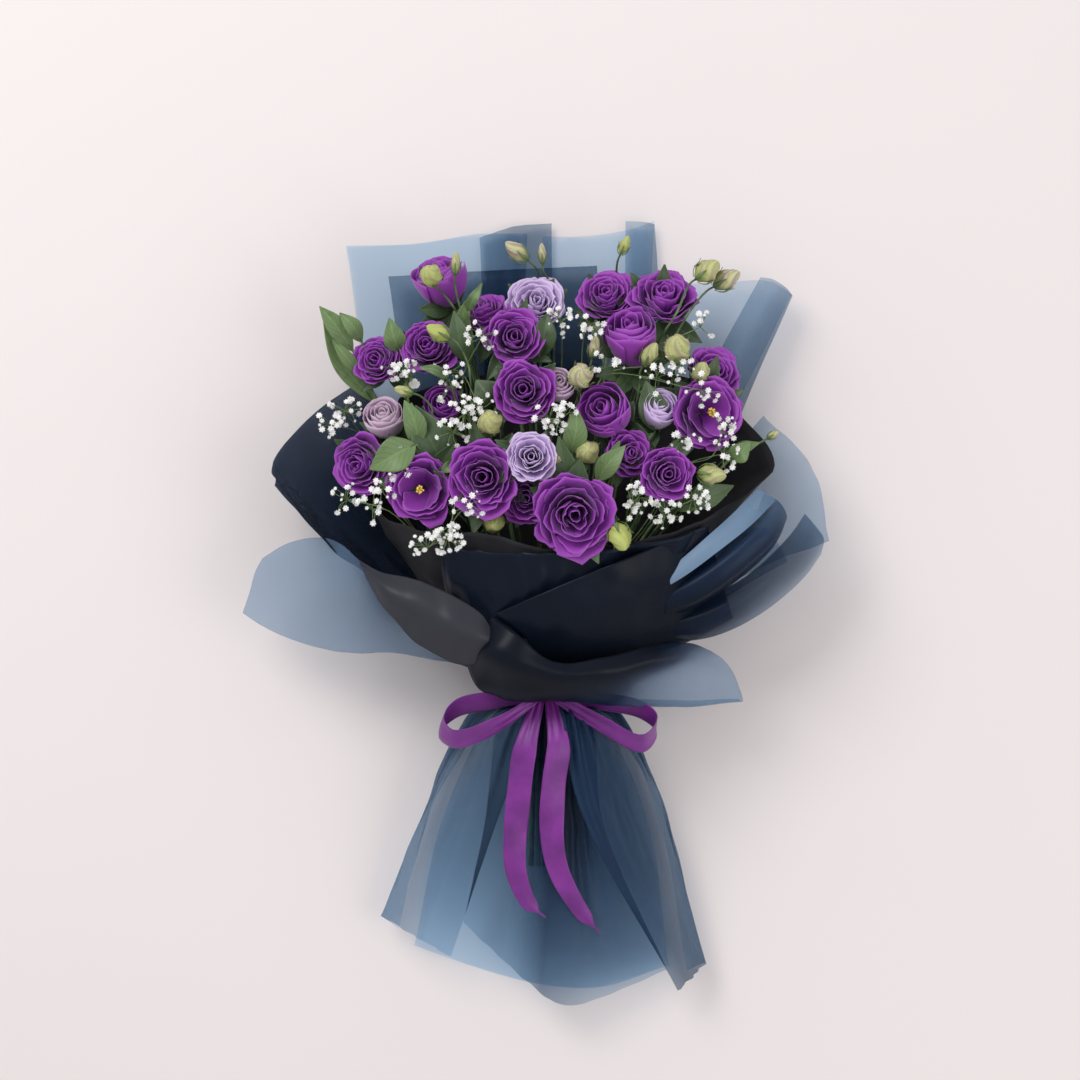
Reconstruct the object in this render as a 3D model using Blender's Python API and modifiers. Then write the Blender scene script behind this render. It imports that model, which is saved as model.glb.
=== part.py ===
"""A wrapped bouquet of purple lisianthus and gypsophila, lying on its back.

Units are metres in Blender; the tables below are written in millimetres and scaled by MM.
+Z is up and is the side that the flowers face, and +Y runs from the tie to the flower heads. The floor
is Z = 0. Every stem passes through the tie, each in its own place in the bundle, and every film is
gathered round the tie on a layer of its own.
"""

import math
from dataclasses import dataclass

import bmesh
import bpy
from mathutils import Matrix, Vector

MM = 0.001

# The part's origin is under the middle of its footprint; the tables are written from a point under the tie.
TIE_FROM_ORIGIN = (8.5, -77.0, 0.0)

# The tie, in millimetres.
TIE_Y = 12.0
TIE_Z = 62.0
TIE = Vector((0.0, TIE_Y, TIE_Z))
GAP = 0.3

# The stem bundle.
STEM_PITCH = 5.5
STEM_RADIUS = 2.6
SHOOT_RADIUS = 1.5
SPRIG_RADIUS = 2.4
THREAD_RADIUS = 0.8
CUT_END_Y = -150.0
CUT_END_Z = 46.0
CUT_END_SPREAD = 1.3
BLOOM_LEAD = 18.0
BLOOM_SIDES = 8
BUD_SIDES = 7
SHOOT_LEAD = 10.0
SHOOT_STAGGER = 0.5
BUD_ROOT = 3.0
CLUSTER_RADIUS = 5.0

# The films, gathered round the tie.
FILM_THICKNESS = 0.6
FIRST_LAYER_RADIUS = 16.8
LAYER_PITCH = 1.1
NECK_HALF_LENGTH = 8.0
NECK_STEP_DEG = 15.0
FLOOR_FILM_Z = FILM_THICKNESS / 2

# The twine and the ribbon.
TWINE_RADIUS = 1.0
TWINE_RING_RADIUS = 14.9
RIBBON_THICKNESS = 0.6
RIBBON_WIDTH = 22.0
RIBBON_BAND_LAYER = 9

PURPLE = (0.17, 0.02, 0.26)
LAVENDER = (0.48, 0.36, 0.62)
MAUVE = (0.45, 0.28, 0.45)
STEM_GREEN = (0.09, 0.16, 0.05)
SPRIG_GREEN = (0.16, 0.25, 0.10)
FILM_BLUE = (0.10, 0.18, 0.32)
LINER_BLACK = (0.02, 0.022, 0.03)
RIBBON_PURPLE = (0.22, 0.03, 0.30)
TWINE_JUTE = (0.45, 0.33, 0.18)


@dataclass(frozen=True)
class Bloom:
    """A flower head: the middle of its face, the way it faces, its width, its depth and its shoot's way there."""

    face: tuple
    facing: tuple
    width: float
    depth: float
    colour: tuple = PURPLE
    via: tuple = ()

    @property
    def axis(self):
        return Vector(self.facing).normalized()

    @property
    def calyx(self):
        return Vector(self.face) - self.axis * self.depth


@dataclass(frozen=True)
class Bud:
    """A closed bud on a side shoot: its foot, its tip, its width, and its shoot's way there."""

    foot: tuple
    tip: tuple
    width: float
    via: tuple

    @property
    def axis(self):
        return (Vector(self.tip) - Vector(self.foot)).normalized()

    @property
    def length(self):
        return (Vector(self.tip) - Vector(self.foot)).length


@dataclass(frozen=True)
class Leaf:
    """A leaf blade: its base, its middle and its tip, its width, and its stalk's way there."""

    base: tuple
    middle: tuple
    tip: tuple
    width: float
    via: tuple = ()


@dataclass(frozen=True)
class Spray:
    """One cut lisianthus stem: its place in the bundle, its fork, and what its shoots carry."""

    slot: tuple
    fork: tuple
    blooms: tuple
    buds: tuple = ()
    leaves: tuple = ()


@dataclass(frozen=True)
class Cluster:
    """The middle of a cluster of florets, and its thread's way there."""

    middle: tuple
    via: tuple


@dataclass(frozen=True)
class Sprig:
    """One gypsophila stem: its place in the bundle, its fork, and its clusters of florets."""

    slot: tuple
    fork: tuple
    clusters: tuple


@dataclass(frozen=True)
class Film:
    """A sheet gathered on a layer at the tie, over an arc in degrees, and the lines that it fans out through."""

    layer: int
    arc: tuple
    rails: tuple
    towards: int = 1
    colour: tuple = FILM_BLUE


BLOOMS = {
    "bloom_01": Bloom((-96, 385, 84), (-0.25, 0.8, 0.45), 43, 42),
    "bloom_02": Bloom((-57, 352, 90), (-0.2, 0.75, 0.6), 38, 34),
    "bloom_03": Bloom((-7, 355, 92), (0.05, 0.35, 0.95), 44, 34, LAVENDER),
    "bloom_04": Bloom((-26, 320, 130), (0.1, 0.15, 0.95), 42, 36),
    "bloom_05": Bloom((53, 364, 84), (-0.1, 0.5, 0.85), 42, 34),
    "bloom_06": Bloom((107, 364, 92), (0.1, 0.6, 0.8), 50, 38),
    "bloom_07": Bloom((73, 334, 132), (-0.1, 0.65, 0.65), 42, 56),
    "bloom_08": Bloom((153, 293, 97), (0.3, 0.4, 0.85), 40, 32),
    "bloom_09": Bloom((146, 252, 142), (0.25, 0.0, 0.95), 54, 40),
    "bloom_10": Bloom((-152, 302, 100), (-0.3, 0.25, 0.9), 38, 34),
    "bloom_11": Bloom((-105, 315, 112), (-0.15, 0.25, 0.95), 43, 36),
    "bloom_12": Bloom((-19, 272, 165), (-0.05, 0.1, 1.0), 45, 38),
    "bloom_13": Bloom((-90, 262, 120), (-0.1, 0.3, 0.9), 30, 26),
    "bloom_14": Bloom((46, 258, 160), (-0.35, 0.35, 0.85), 42, 46),
    "bloom_15": Bloom((76, 217, 158), (0.3, 0.1, 0.95), 35, 28),
    "bloom_16": Bloom((-143, 255, 128), (-0.15, 0.6, 0.75), 33, 34, MAUVE),
    "bloom_17": Bloom((102, 261, 134), (0.2, 0.5, 0.85), 32, 34, LAVENDER),
    "bloom_18": Bloom((-168, 206, 128), (-0.45, -0.05, 0.9), 46, 36),
    "bloom_19": Bloom((-109, 184, 168), (-0.15, -0.1, 1.0), 51, 40),
    "bloom_20": Bloom((-55, 195, 184), (-0.1, 0.0, 1.0), 54, 40),
    "bloom_21": Bloom((-12, 213, 196), (0.0, 0.1, 1.0), 38, 34, LAVENDER, ((4, 170, 120), (-6, 206, 138))),
    "bloom_22": Bloom((-17, 176, 166), (-0.1, -0.1, 1.0), 42, 32),
    "bloom_23": Bloom((26, 160, 203), (0.05, -0.2, 1.0), 62, 42),
    "bloom_24": Bloom((108, 198, 170), (0.2, 0.0, 1.0), 40, 32),
    "bloom_25": Bloom((13, 281, 146), (0.15, 0.45, 0.9), 26, 32, MAUVE),
}

# A slot is (angle in degrees round the bundle, distance from its middle in stem pitches).
SPRAYS = {
    "spray_stem_01": Spray(
        (210, 2.0), (-62, 150, 78), ("bloom_10", "bloom_11"),
        (Bud((-83, 316, 136), (-103, 327, 142), 14, ((-66, 230, 108), (-66, 290, 130))),),
        (
            Leaf((-150, 262, 64), (-180, 298, 72), (-197, 346, 92), 18, ((-110, 200, 66),)),
            Leaf((-124, 270, 58), (-130, 312, 66), (-138, 336, 82), 20, ((-96, 210, 60),)),
        ),
    ),
    "spray_stem_02": Spray(
        (180, 1.732), (-52, 95, 82), ("bloom_18", "bloom_16"),
        (Bud((-115, 268, 140), (-131, 273, 142), 9, ((-120, 196, 104), (-106, 224, 136), (-98, 254, 140))),),
        (
            Leaf((-113, 221, 140), (-131, 219, 148), (-149, 204, 147), 24, ((-96, 150, 88), (-120, 196, 104))),
            Leaf((-112, 226, 134), (-115, 242, 146), (-116, 260, 146), 15, ((-98, 156, 93), (-117, 200, 108))),
        ),
    ),
    "spray_stem_03": Spray(
        (150, 1.0), (-30, 80, 94), ("bloom_20", "bloom_19", "bloom_13"),
        (
            Bud((-46, 238, 152), (-49, 247, 178), 21, ((-46, 165, 106), (-46, 222, 128))),
            Bud((-44, 160, 140), (-46, 152, 164), 19, ((-40, 120, 108), (-43, 160, 118))),
        ),
        (Leaf((-84, 196, 116), (-90, 214, 126), (-84, 240, 134), 20, ((-60, 140, 100),)),),
    ),
    "spray_stem_04": Spray(
        (90, 1.0), (2, 80, 104), ("bloom_23", "bloom_22", "bloom_21"),
        (
            Bud((60, 155, 178), (68, 132, 195), 19, ((36, 124, 130), (50, 166, 158))),
            Bud((10, 208, 168), (11, 212, 180), 7, ((6, 150, 124), (8, 196, 150))),
        ),
    ),
    "spray_stem_05": Spray(
        (0, 0.0), (6, 110, 88), ("bloom_12", "bloom_25"),
        (
            Bud((29, 277, 160), (32, 288, 184), 21, ((22, 225, 120), (29, 262, 132))),
            Bud((36, 215, 152), (37, 218, 178), 21, ((26, 170, 110), (35, 208, 132))),
        ),
        (
            Leaf((20, 196, 130), (23, 226, 150), (22, 250, 156), 16, ((14, 160, 104),)),
            Leaf((46, 192, 150), (55, 206, 168), (64, 226, 174), 15, ((24, 150, 104), (36, 178, 124))),
        ),
    ),
    "spray_stem_06": Spray(
        (210, 1.0), (-30, 150, 66), ("bloom_02", "bloom_01"),
        (
            Bud((-98, 368, 114), (-101, 376, 138), 19, ((-70, 325, 88), (-82, 348, 100))),
            Bud((-79, 374, 104), (-78, 394, 110), 8, ((-67, 320, 84), (-76, 350, 100))),
        ),
        (Leaf((-68, 316, 92), (-72, 338, 104), (-62, 358, 112), 12, ((-52, 240, 70),)),),
    ),
    "spray_stem_07": Spray(
        (270, 1.0), (-6, 150, 72), ("bloom_04", "bloom_03"),
        (
            Bud((-15, 388, 80), (-35, 404, 88), 14, ((4, 300, 48), (-3, 370, 60))),
            Bud((-2, 385, 86), (-3, 403, 92), 7, ((8, 300, 50), (5, 368, 62))),
            Bud((41, 300, 118), (45, 319, 128), 10, ((20, 240, 92), (36, 285, 106))),
        ),
    ),
    "spray_stem_08": Spray(
        (330, 1.0), (38, 150, 72), ("bloom_07", "bloom_05", "bloom_06"),
        (
            Bud((67, 394, 72), (74, 410, 80), 9, ((66, 310, 42), (64, 370, 52))),
            Bud((86, 293, 128), (97, 312, 142), 13, ((72, 230, 98), (83, 276, 116))),
        ),
    ),
    "spray_stem_09": Spray(
        (0, 1.732), (68, 130, 80), ("bloom_08", "bloom_17"),
        (
            Bud((132, 369, 116), (152, 384, 124), 19, ((96, 306, 100), (116, 341, 112))),
            Bud((148, 363, 104), (171, 376, 112), 17, ((106, 300, 92), (127, 341, 100))),
            Bud((114, 297, 122), (116, 318, 144), 24, ((100, 235, 90), (112, 282, 104))),
            Bud((133, 280, 116), (139, 295, 134), 16, ((118, 240, 86), (126, 266, 98))),
        ),
    ),
    "spray_stem_10": Spray(
        (30, 1.0), (48, 90, 94), ("bloom_24", "bloom_15", "bloom_14", "bloom_09"),
        (
            Bud((132, 199, 148), (157, 196, 156), 17, ((108, 164, 122), (122, 190, 138))),
            Bud((195, 230, 112), (205, 236, 114), 6, ((130, 176, 112), (172, 220, 108))),
        ),
        (
            Leaf((112, 168, 134), (134, 178, 142), (158, 180, 144), 20, ((84, 134, 116),)),
            Leaf((160, 214, 106), (174, 222, 112), (188, 226, 114), 12, ((108, 160, 104),)),
        ),
    ),
}

SPRIGS = {
    "gypsophila_sprig_01": Sprig(
        (240, 1.732), (-58, 118, 50),
        (
            Cluster((-128, 293, 124), ((-112, 220, 66), (-123, 282, 90))),
            Cluster((-176, 254, 112), ((-140, 196, 66), (-162, 234, 84))),
            Cluster((-84, 288, 132), ((-66, 200, 46), (-72, 284, 104))),
        ),
    ),
    "gypsophila_sprig_02": Sprig(
        (150, 2.0), (-56, 84, 104),
        (
            Cluster((-150, 168, 150), ((-104, 134, 126), (-136, 166, 134))),
            Cluster((-141, 187, 156), ((-104, 138, 122), (-134, 178, 136))),
            Cluster((-84, 142, 180), ((-68, 116, 128), (-80, 154, 158))),
        ),
    ),
    "gypsophila_sprig_03": Sprig(
        (120, 1.732), (-18, 96, 100),
        (
            Cluster((-70, 250, 168), ((-26, 170, 120), (-40, 214, 136), (-62, 238, 146))),
            Cluster((-80, 234, 160), ((-28, 160, 122), (-62, 226, 138))),
            Cluster((4, 246, 178), ((0, 165, 112), (2, 228, 144))),
        ),
    ),
    "gypsophila_sprig_04": Sprig(
        (300, 1.732), (16, 150, 56),
        (
            Cluster((14, 332, 124), ((14, 240, 70), (15, 314, 94))),
            Cluster((40, 330, 130), ((30, 240, 70), (34, 318, 98))),
            Cluster((54, 292, 138), ((44, 230, 76), (50, 284, 104))),
        ),
    ),
    "gypsophila_sprig_05": Sprig(
        (60, 1.732), (28, 92, 114),
        (
            Cluster((80, 178, 172), ((54, 126, 136), (76, 168, 152))),
            Cluster((104, 165, 166), ((68, 120, 134), (98, 160, 146))),
            Cluster((121, 230, 150), ((84, 150, 118), (114, 205, 122))),
            Cluster((156, 215, 148), ((86, 148, 122), (120, 204, 118), (146, 214, 126))),
        ),
    ),
}

FILMS = {
    "black_liner": Film(
        0, (-15, 195),
        (
            (
                (96, 128, 42), (108, 104, 75), (92, 82, 100), (62, 70, 122), (0, 64, 134),
                (-62, 70, 122), (-90, 84, 100), (-104, 98, 78), (-96, 124, 45),
            ),
            (
                (166, 262, 52), (202, 208, 92), (136, 158, 148), (66, 137, 166), (0, 134, 169),
                (-50, 146, 168), (-112, 150, 152), (-158, 176, 118), (-168, 236, 62),
            ),
        ),
        colour=LINER_BLACK,
    ),
    "inner_back_film": Film(
        0, (210, 330),
        (
            ((-58, 105, 30), (-25, 112, 18), (5, 114, 16), (35, 108, 22)),
            ((-118, 245, 24), (-60, 255, 15), (0, 258, 14), (52, 250, 16)),
            ((-141, 378, 22), (-66, 383, 15), (0, 386, 15), (47, 388, 18)),
        ),
    ),
    "front_collar_film": Film(
        1, (30, 150),
        (
            ((86, 70, 120), (40, 58, 138), (0, 55, 144), (-40, 58, 140), (-80, 72, 120)),
            ((130, 148, 160), (64, 134, 174), (0, 130, 177), (-50, 130, 176), (-92, 136, 168)),
        ),
    ),
    "back_film_fold": Film(
        1, (255, 300),
        (
            ((-18, 112, 11), (-4, 114, 10), (12, 112, 10)),
            ((-50, 250, 7), (-22, 255, 8), (8, 252, 7)),
            ((-59, 414, 6), (-28, 424, 9), (6, 427, 7)),
        ),
    ),
    "left_side_film": Film(
        1, (165, 225),
        (
            ((-112, 78, 82), (-116, 92, 56), (-96, 104, 34), (-66, 108, 20)),
            ((-182, 130, 106), (-190, 150, 66), (-160, 186, 34), (-122, 205, 14)),
            ((-238, 189, 96), (-240, 212, 72), (-206, 255, 36), (-164, 286, 14)),
        ),
    ),
    "right_rolled_film": Film(
        1, (304, 345),
        (
            ((36, 108, 14), (55, 106, 16), (76, 102, 26)),
            ((70, 245, 14), (118, 245, 14), (158, 236, 38)),
            ((56, 380, 14), (140, 372, 13), (200, 374, 20), (222, 361, 36)),
        ),
    ),
    "back_film_right": Film(
        2, (270, 315),
        (
            ((4, 116, 4.5), (22, 115, 4.5), (42, 110, 6)),
            ((-2, 255, 3), (45, 256, 3), (86, 250, 3.5)),
            ((-2, 415, 3), (40, 416, 3), (78, 422, 4), (99, 429, 8)),
        ),
    ),
    "right_side_film": Film(
        2, (345, 375),
        (
            ((84, 98, 22), (104, 88, 44), (110, 76, 66)),
            ((168, 214, 24), (196, 172, 52), (206, 122, 76)),
            ((196, 252, 44), (238, 204, 70), (251, 140, 88)),
        ),
    ),
    "left_wing_film": Film(
        2, (130, 180),
        (
            ((-46, 54, 147), (-72, 44, 122), (-80, 24, 86)),
            ((-104, 102, 150), (-132, 76, 130), (-140, 38, 92)),
            ((-192, 143, 124), (-250, 112, 92), (-268, 75, 62)),
        ),
    ),
    "back_film_left": Film(
        3, (225, 270),
        (
            ((-66, 110, 4), (-32, 116, FLOOR_FILM_Z), (-2, 118, FLOOR_FILM_Z)),
            ((-150, 245, 3), (-85, 255, FLOOR_FILM_Z), (-20, 258, FLOOR_FILM_Z)),
            ((-180, 407, FLOOR_FILM_Z), (-119, 409, FLOOR_FILM_Z), (-57, 418, FLOOR_FILM_Z), (-16, 418, FLOOR_FILM_Z)),
        ),
    ),
    "right_lower_film": Film(
        3, (0, 27),
        (
            ((98, 56, 70), (102, 56, 92), (96, 56, 110)),
            ((214, 122, 96), (194, 150, 116), (168, 150, 138)),
        ),
    ),
    "right_wing_film": Film(
        3, (60, 126),
        (
            ((34, 28, 112), (22, 32, 124), (-6, 33, 132), (-34, 28, 124)),
            ((92, 0, 112), (64, 44, 134), (0, 46, 154), (-62, 38, 150)),
            ((172, -2, 84), (140, 46, 118), (40, 62, 158), (-52, 76, 166)),
        ),
    ),
    "skirt_back": Film(
        5, (210, 330),
        (
            ((-46, -14, 26), (-20, -22, 14), (0, -24, 12), (20, -22, 14), (46, -14, 26)),
            ((-92, -110, 5), (-40, -122, FLOOR_FILM_Z), (0, -126, FLOOR_FILM_Z), (40, -122, FLOOR_FILM_Z), (92, -110, 5)),
            ((-118, -226, 4), (-50, -250, FLOOR_FILM_Z), (0, -262, FLOOR_FILM_Z), (50, -264, FLOOR_FILM_Z), (112, -244, 4)),
        ),
        -1,
    ),
    "skirt_centre": Film(
        6, (45, 135),
        (
            ((38, -14, 86), (0, -18, 93), (-38, -14, 85)),
            ((52, -112, 64), (6, -120, 74), (-54, -114, 64)),
            ((110, -246, 22), (18, -275, 44), (-24, -248, 34), (-73, -202, 30)),
        ),
        -1,
    ),
    "skirt_left": Film(
        7, (90, 210),
        (
            ((-8, -14, 99), (-42, -14, 92), (-62, -14, 64), (-54, -18, 34)),
            ((-38, -95, 86), (-74, -96, 78), (-104, -92, 46), (-100, -98, 12)),
            ((-84, -231, 48), (-116, -214, 44), (-146, -198, 24), (-132, -210, 9)),
        ),
        -1,
    ),
    "skirt_right": Film(
        8, (-30, 75),
        (
            ((56, -18, 34), (64, -14, 66), (46, -14, 98), (14, -14, 105)),
            ((98, -92, 12), (100, -84, 46), (70, -92, 80), (30, -95, 90)),
            ((128, -248, 9), (143, -240, 26), (130, -252, 42), (119, -262, 46)),
        ),
        -1,
    ),
}


def clear_scene():
    """Removes whatever the scene holds."""
    for obj in list(bpy.data.objects):
        bpy.data.objects.remove(obj)


def new_collection(name):
    """A new collection in the scene."""
    made = bpy.data.collections.new(name)
    bpy.context.scene.collection.children.link(made)
    return made


def new_material(name, colour, roughness):
    """A Principled material, made once for each name."""
    found = bpy.data.materials.get(name)
    if found:
        return found
    made = bpy.data.materials.new(name)
    made.use_nodes = True
    shader = made.node_tree.nodes["Principled BSDF"]
    shader.inputs["Base Color"].default_value = (*colour, 1.0)
    shader.inputs["Roughness"].default_value = roughness
    shader.inputs["Metallic"].default_value = 0.0
    return made


def new_object(name, data, material, collection):
    """An object with one material, in a collection."""
    data.materials.clear()
    data.materials.append(material)
    obj = bpy.data.objects.new(name, data)
    collection.objects.link(obj)
    return obj


def finished_mesh(obj):
    """The object's evaluated mesh, welded, as a new object in its place."""
    bpy.context.view_layer.update()
    graph = bpy.context.evaluated_depsgraph_get()
    mesh = bpy.data.meshes.new_from_object(obj.evaluated_get(graph))
    welding = bmesh.new()
    welding.from_mesh(mesh)
    bmesh.ops.remove_doubles(welding, verts=welding.verts, dist=0.001 * MM)
    bmesh.ops.recalc_face_normals(welding, faces=welding.faces)
    welding.to_mesh(mesh)
    welding.free()
    name, place, homes = obj.name, obj.matrix_world.copy(), list(obj.users_collection)
    bpy.data.objects.remove(obj)
    made = bpy.data.objects.new(name, mesh)
    made.matrix_world = place
    for home in homes:
        home.objects.link(made)
    return made


def joined(name, pieces, material, collection, self_crossing=True):
    """One solid from overlapping pieces, by Boolean union, with care for pieces that cross themselves."""
    base = finished_mesh(pieces[0])
    for piece in pieces[1:]:
        cutter = finished_mesh(piece)
        union = base.modifiers.new("union", "BOOLEAN")
        union.operation = "UNION"
        union.solver = "EXACT"
        union.use_self = self_crossing
        union.object = cutter
        base = finished_mesh(base)
        bpy.data.objects.remove(cutter)
    base.name = name
    base.data.name = name
    base.data.materials.clear()
    base.data.materials.append(material)
    for home in list(base.users_collection):
        home.objects.unlink(base)
    collection.objects.link(base)
    return base


def on_curve(points, where):
    """A point on the smooth curve through points, at where from 0 to the number of its spans."""
    last = len(points) - 1
    span = min(int(where), last - 1)
    t = where - span
    p1, p2 = points[span], points[span + 1]
    before = points[span - 1] if span else p1 * 2 - p2
    after = points[span + 2] if span + 2 <= last else p2 * 2 - p1
    d0, d1, d2 = (max(math.sqrt((b - a).length), 1e-6) for a, b in ((before, p1), (p1, p2), (p2, after)))
    m1 = ((p1 - before) / d0 - (p2 - before) / (d0 + d1) + (p2 - p1) / d1) * d1
    m2 = ((p2 - p1) / d1 - (after - p1) / (d1 + d2) + (after - p2) / d2) * d1
    return (
        p1 * (2 * t**3 - 3 * t**2 + 1) + m1 * (t**3 - 2 * t**2 + t)
        + p2 * (3 * t**2 - 2 * t**3) + m2 * (t**3 - t**2)
    )


def smooth_line(points, steps):
    """The curve through points, with that many steps in each span."""
    spans = len(points) - 1
    return [on_curve(points, spans * i / (spans * steps)) for i in range(spans * steps + 1)]


def tube(name, line, radius, collection, sides=6):
    """A tube with capped ends along a line of points in millimetres."""
    curve = bpy.data.curves.new(name, "CURVE")
    curve.dimensions = "3D"
    curve.bevel_depth = radius * MM
    curve.bevel_resolution = sides // 2 - 2
    curve.use_fill_caps = True
    spline = curve.splines.new("POLY")
    spline.points.add(len(line) - 1)
    for point, place in zip(spline.points, line):
        point.co = (*(place * MM), 1.0)
    obj = bpy.data.objects.new(name, curve)
    collection.objects.link(obj)
    return obj


def turned(name, profile, sides, place, axis, collection):
    """A solid turned from a profile of (radius, height) in millimetres, standing at place along axis."""
    mesh = bpy.data.meshes.new(name)
    outline = bmesh.new()
    points = [outline.verts.new((radius * MM, 0.0, height * MM)) for radius, height in reversed(profile)]
    for upper, lower in zip(points, points[1:]):
        outline.edges.new((upper, lower))
    outline.to_mesh(mesh)
    outline.free()
    obj = bpy.data.objects.new(name, mesh)
    collection.objects.link(obj)
    screw = obj.modifiers.new("turn", "SCREW")
    screw.steps = screw.render_steps = sides
    screw.use_merge_vertices = True
    screw.merge_threshold = 0.01 * MM
    obj.matrix_world = Matrix.Translation(Vector(place) * MM) @ axis.to_track_quat("Z", "Y").to_matrix().to_4x4()
    return obj


def bloom_profile(width, depth):
    """The goblet of an open flower head, from its calyx to the middle of its face."""
    radius = width / 2
    return (
        (0, 0), (2.6, 0), (0.5 * radius, 0.2 * depth), (0.86 * radius, 0.5 * depth),
        (radius, 0.84 * depth), (0.86 * radius, depth), (0.4 * radius, 0.9 * depth), (0, 0.86 * depth),
    )


def bud_profile(width, length):
    """The spindle of a closed bud, from inside its shoot to its tip."""
    radius = width / 2
    return (
        (0, 0), (0.4 * radius, 0), (0.95 * radius, 0.3 * length), (radius, 0.55 * length),
        (0.62 * radius, 0.85 * length), (0, length),
    )


def slot_offset(slot):
    """How far a stem's place in the bundle lies from the bundle's middle, across and up."""
    angle, reach = math.radians(slot[0]), slot[1] * STEM_PITCH
    return reach * math.cos(angle), reach * math.sin(angle)


def bundle_points(slot):
    """A stem's places at its cut end and on both sides of the tie."""
    across, up = slot_offset(slot)
    return [
        Vector((across * CUT_END_SPREAD, CUT_END_Y, CUT_END_Z + up * CUT_END_SPREAD)),
        Vector((across, TIE_Y - NECK_HALF_LENGTH, TIE_Z + up)),
        Vector((across, TIE_Y + NECK_HALF_LENGTH, TIE_Z + up)),
    ]


def shoot_start(fork, number):
    """Where a numbered shoot leaves its stem, each a little nearer to the tie than the one before."""
    return Vector(fork) + (TIE - Vector(fork)).normalized() * SHOOT_STAGGER * number


def shoot_line(start, via, end, axis, lead):
    """A side shoot from its start by way of some points to its end, which it meets straight along an axis."""
    approach = end - axis * lead
    between = [Vector(point) for point in via] or [start.lerp(approach, 0.5)]
    return [start, *between, approach, end]


def leaf_blade(name, leaf, collection):
    """A pointed leaf, arched along its middle line and folded a little along its rib."""
    line = [Vector(leaf.base), Vector(leaf.middle), Vector(leaf.tip)]
    rows, columns, thickness = 5, 2, 1.0
    blade = bmesh.new()
    bmesh.ops.create_grid(blade, x_segments=columns, y_segments=rows, size=1.0)
    side = (line[2] - line[0]).cross(Vector((0.0, 0.0, 1.0))).normalized()
    for vert in blade.verts:
        across, along = vert.co.x, (vert.co.y + 1) / 2
        half = 0.8 + (leaf.width / 2 - 0.8) * math.sin(math.pi * along**0.8) ** 0.8
        place = on_curve(line, 2 * along) + side * across * half
        place.z += abs(across) * half * 0.18
        vert.co = place * MM
    mesh = bpy.data.meshes.new(name)
    blade.to_mesh(mesh)
    blade.free()
    obj = bpy.data.objects.new(name, mesh)
    collection.objects.link(obj)
    skin = obj.modifiers.new("thickness", "SOLIDIFY")
    skin.thickness = thickness * MM
    skin.offset = 0.0
    return obj


def build_bloom(name, bloom, collection):
    """A flower head, standing a hair clear of the stem that carries it."""
    obj = turned(name, bloom_profile(bloom.width, bloom.depth), BLOOM_SIDES, bloom.calyx, bloom.axis, collection)
    obj.data.materials.append(new_material(f"petal_{bloom.colour[0]:.2f}", bloom.colour, 0.6))
    return obj


def build_spray(name, spray, collection, cutters):
    """A lisianthus stem with the shoots, buds and leaves that grew on it."""
    pieces = []
    for carried in spray.blooms:
        bloom = BLOOMS[carried]
        tip = bloom.calyx - bloom.axis * GAP
        line = shoot_line(shoot_start(spray.fork, len(pieces)), bloom.via, tip, bloom.axis, BLOOM_LEAD)
        if pieces:
            pieces.append(tube("shoot", line, SHOOT_RADIUS, cutters, 4))
        else:
            main_line = smooth_line(bundle_points(spray.slot) + line[:-1], 2)
            pieces.append(tube(name, main_line + [tip], STEM_RADIUS, cutters))
    for bud in spray.buds:
        foot = Vector(bud.foot)
        inside = foot + bud.axis * BUD_ROOT
        line = shoot_line(shoot_start(spray.fork, len(pieces)), bud.via, inside, bud.axis, SHOOT_LEAD)
        pieces.append(tube("shoot", line, SHOOT_RADIUS, cutters, 4))
        pieces.append(turned("bud", bud_profile(bud.width, bud.length), BUD_SIDES, foot, bud.axis, cutters))
    for leaf in spray.leaves:
        base, middle = Vector(leaf.base), Vector(leaf.middle)
        start = shoot_start(spray.fork, len(pieces))
        stalk = [start, *(Vector(point) for point in leaf.via), base, base.lerp(middle, 0.3)]
        pieces.append(tube("stalk", stalk, SHOOT_RADIUS, cutters, 4))
        pieces.append(leaf_blade("leaf", leaf, cutters))
    return joined(name, pieces, new_material("stem_green", STEM_GREEN, 0.6), collection)


def cluster_knob(name, place, radius, collection):
    """The middle of a cluster of florets."""
    knob = bmesh.new()
    bmesh.ops.create_icosphere(knob, subdivisions=1, radius=radius * MM)
    mesh = bpy.data.meshes.new(name)
    knob.to_mesh(mesh)
    knob.free()
    obj = bpy.data.objects.new(name, mesh)
    collection.objects.link(obj)
    obj.location = place * MM
    return obj


def build_sprig(name, sprig, collection, cutters):
    """A gypsophila stem with its threads and the middles of its clusters of florets."""
    trunk = smooth_line(bundle_points(sprig.slot) + [Vector(sprig.fork)], 2)
    pieces = [tube(name, trunk, SPRIG_RADIUS, cutters)]
    for cluster in sprig.clusters:
        line = [Vector(point) for point in (sprig.fork, *cluster.via, cluster.middle)]
        pieces.append(tube("thread", line, THREAD_RADIUS, cutters, 4))
        pieces.append(cluster_knob("cluster", line[-1], CLUSTER_RADIUS, cutters))
    return joined(name, pieces, new_material("sprig_green", SPRIG_GREEN, 0.6), collection)


def film_place(film, angle_share, row):
    """A point of a film: angle_share runs over its arc, and row from its lower neck edge out to its last line."""
    start, stop = film.arc
    angle = math.radians(start + (stop - start) * angle_share)
    radius = FIRST_LAYER_RADIUS + LAYER_PITCH * film.layer
    ring = Vector((radius * math.cos(angle), 0.0, radius * math.sin(angle)))
    neck = Vector((0.0, NECK_HALF_LENGTH * film.towards, 0.0))
    column = [TIE + ring - neck, TIE + ring + neck]
    for rail in film.rails:
        points = [Vector(p) for p in rail]
        column.append(on_curve(points, angle_share * (len(points) - 1)))
    place = on_curve(column, row)
    place.z = max(place.z, FLOOR_FILM_Z)
    return place


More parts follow.
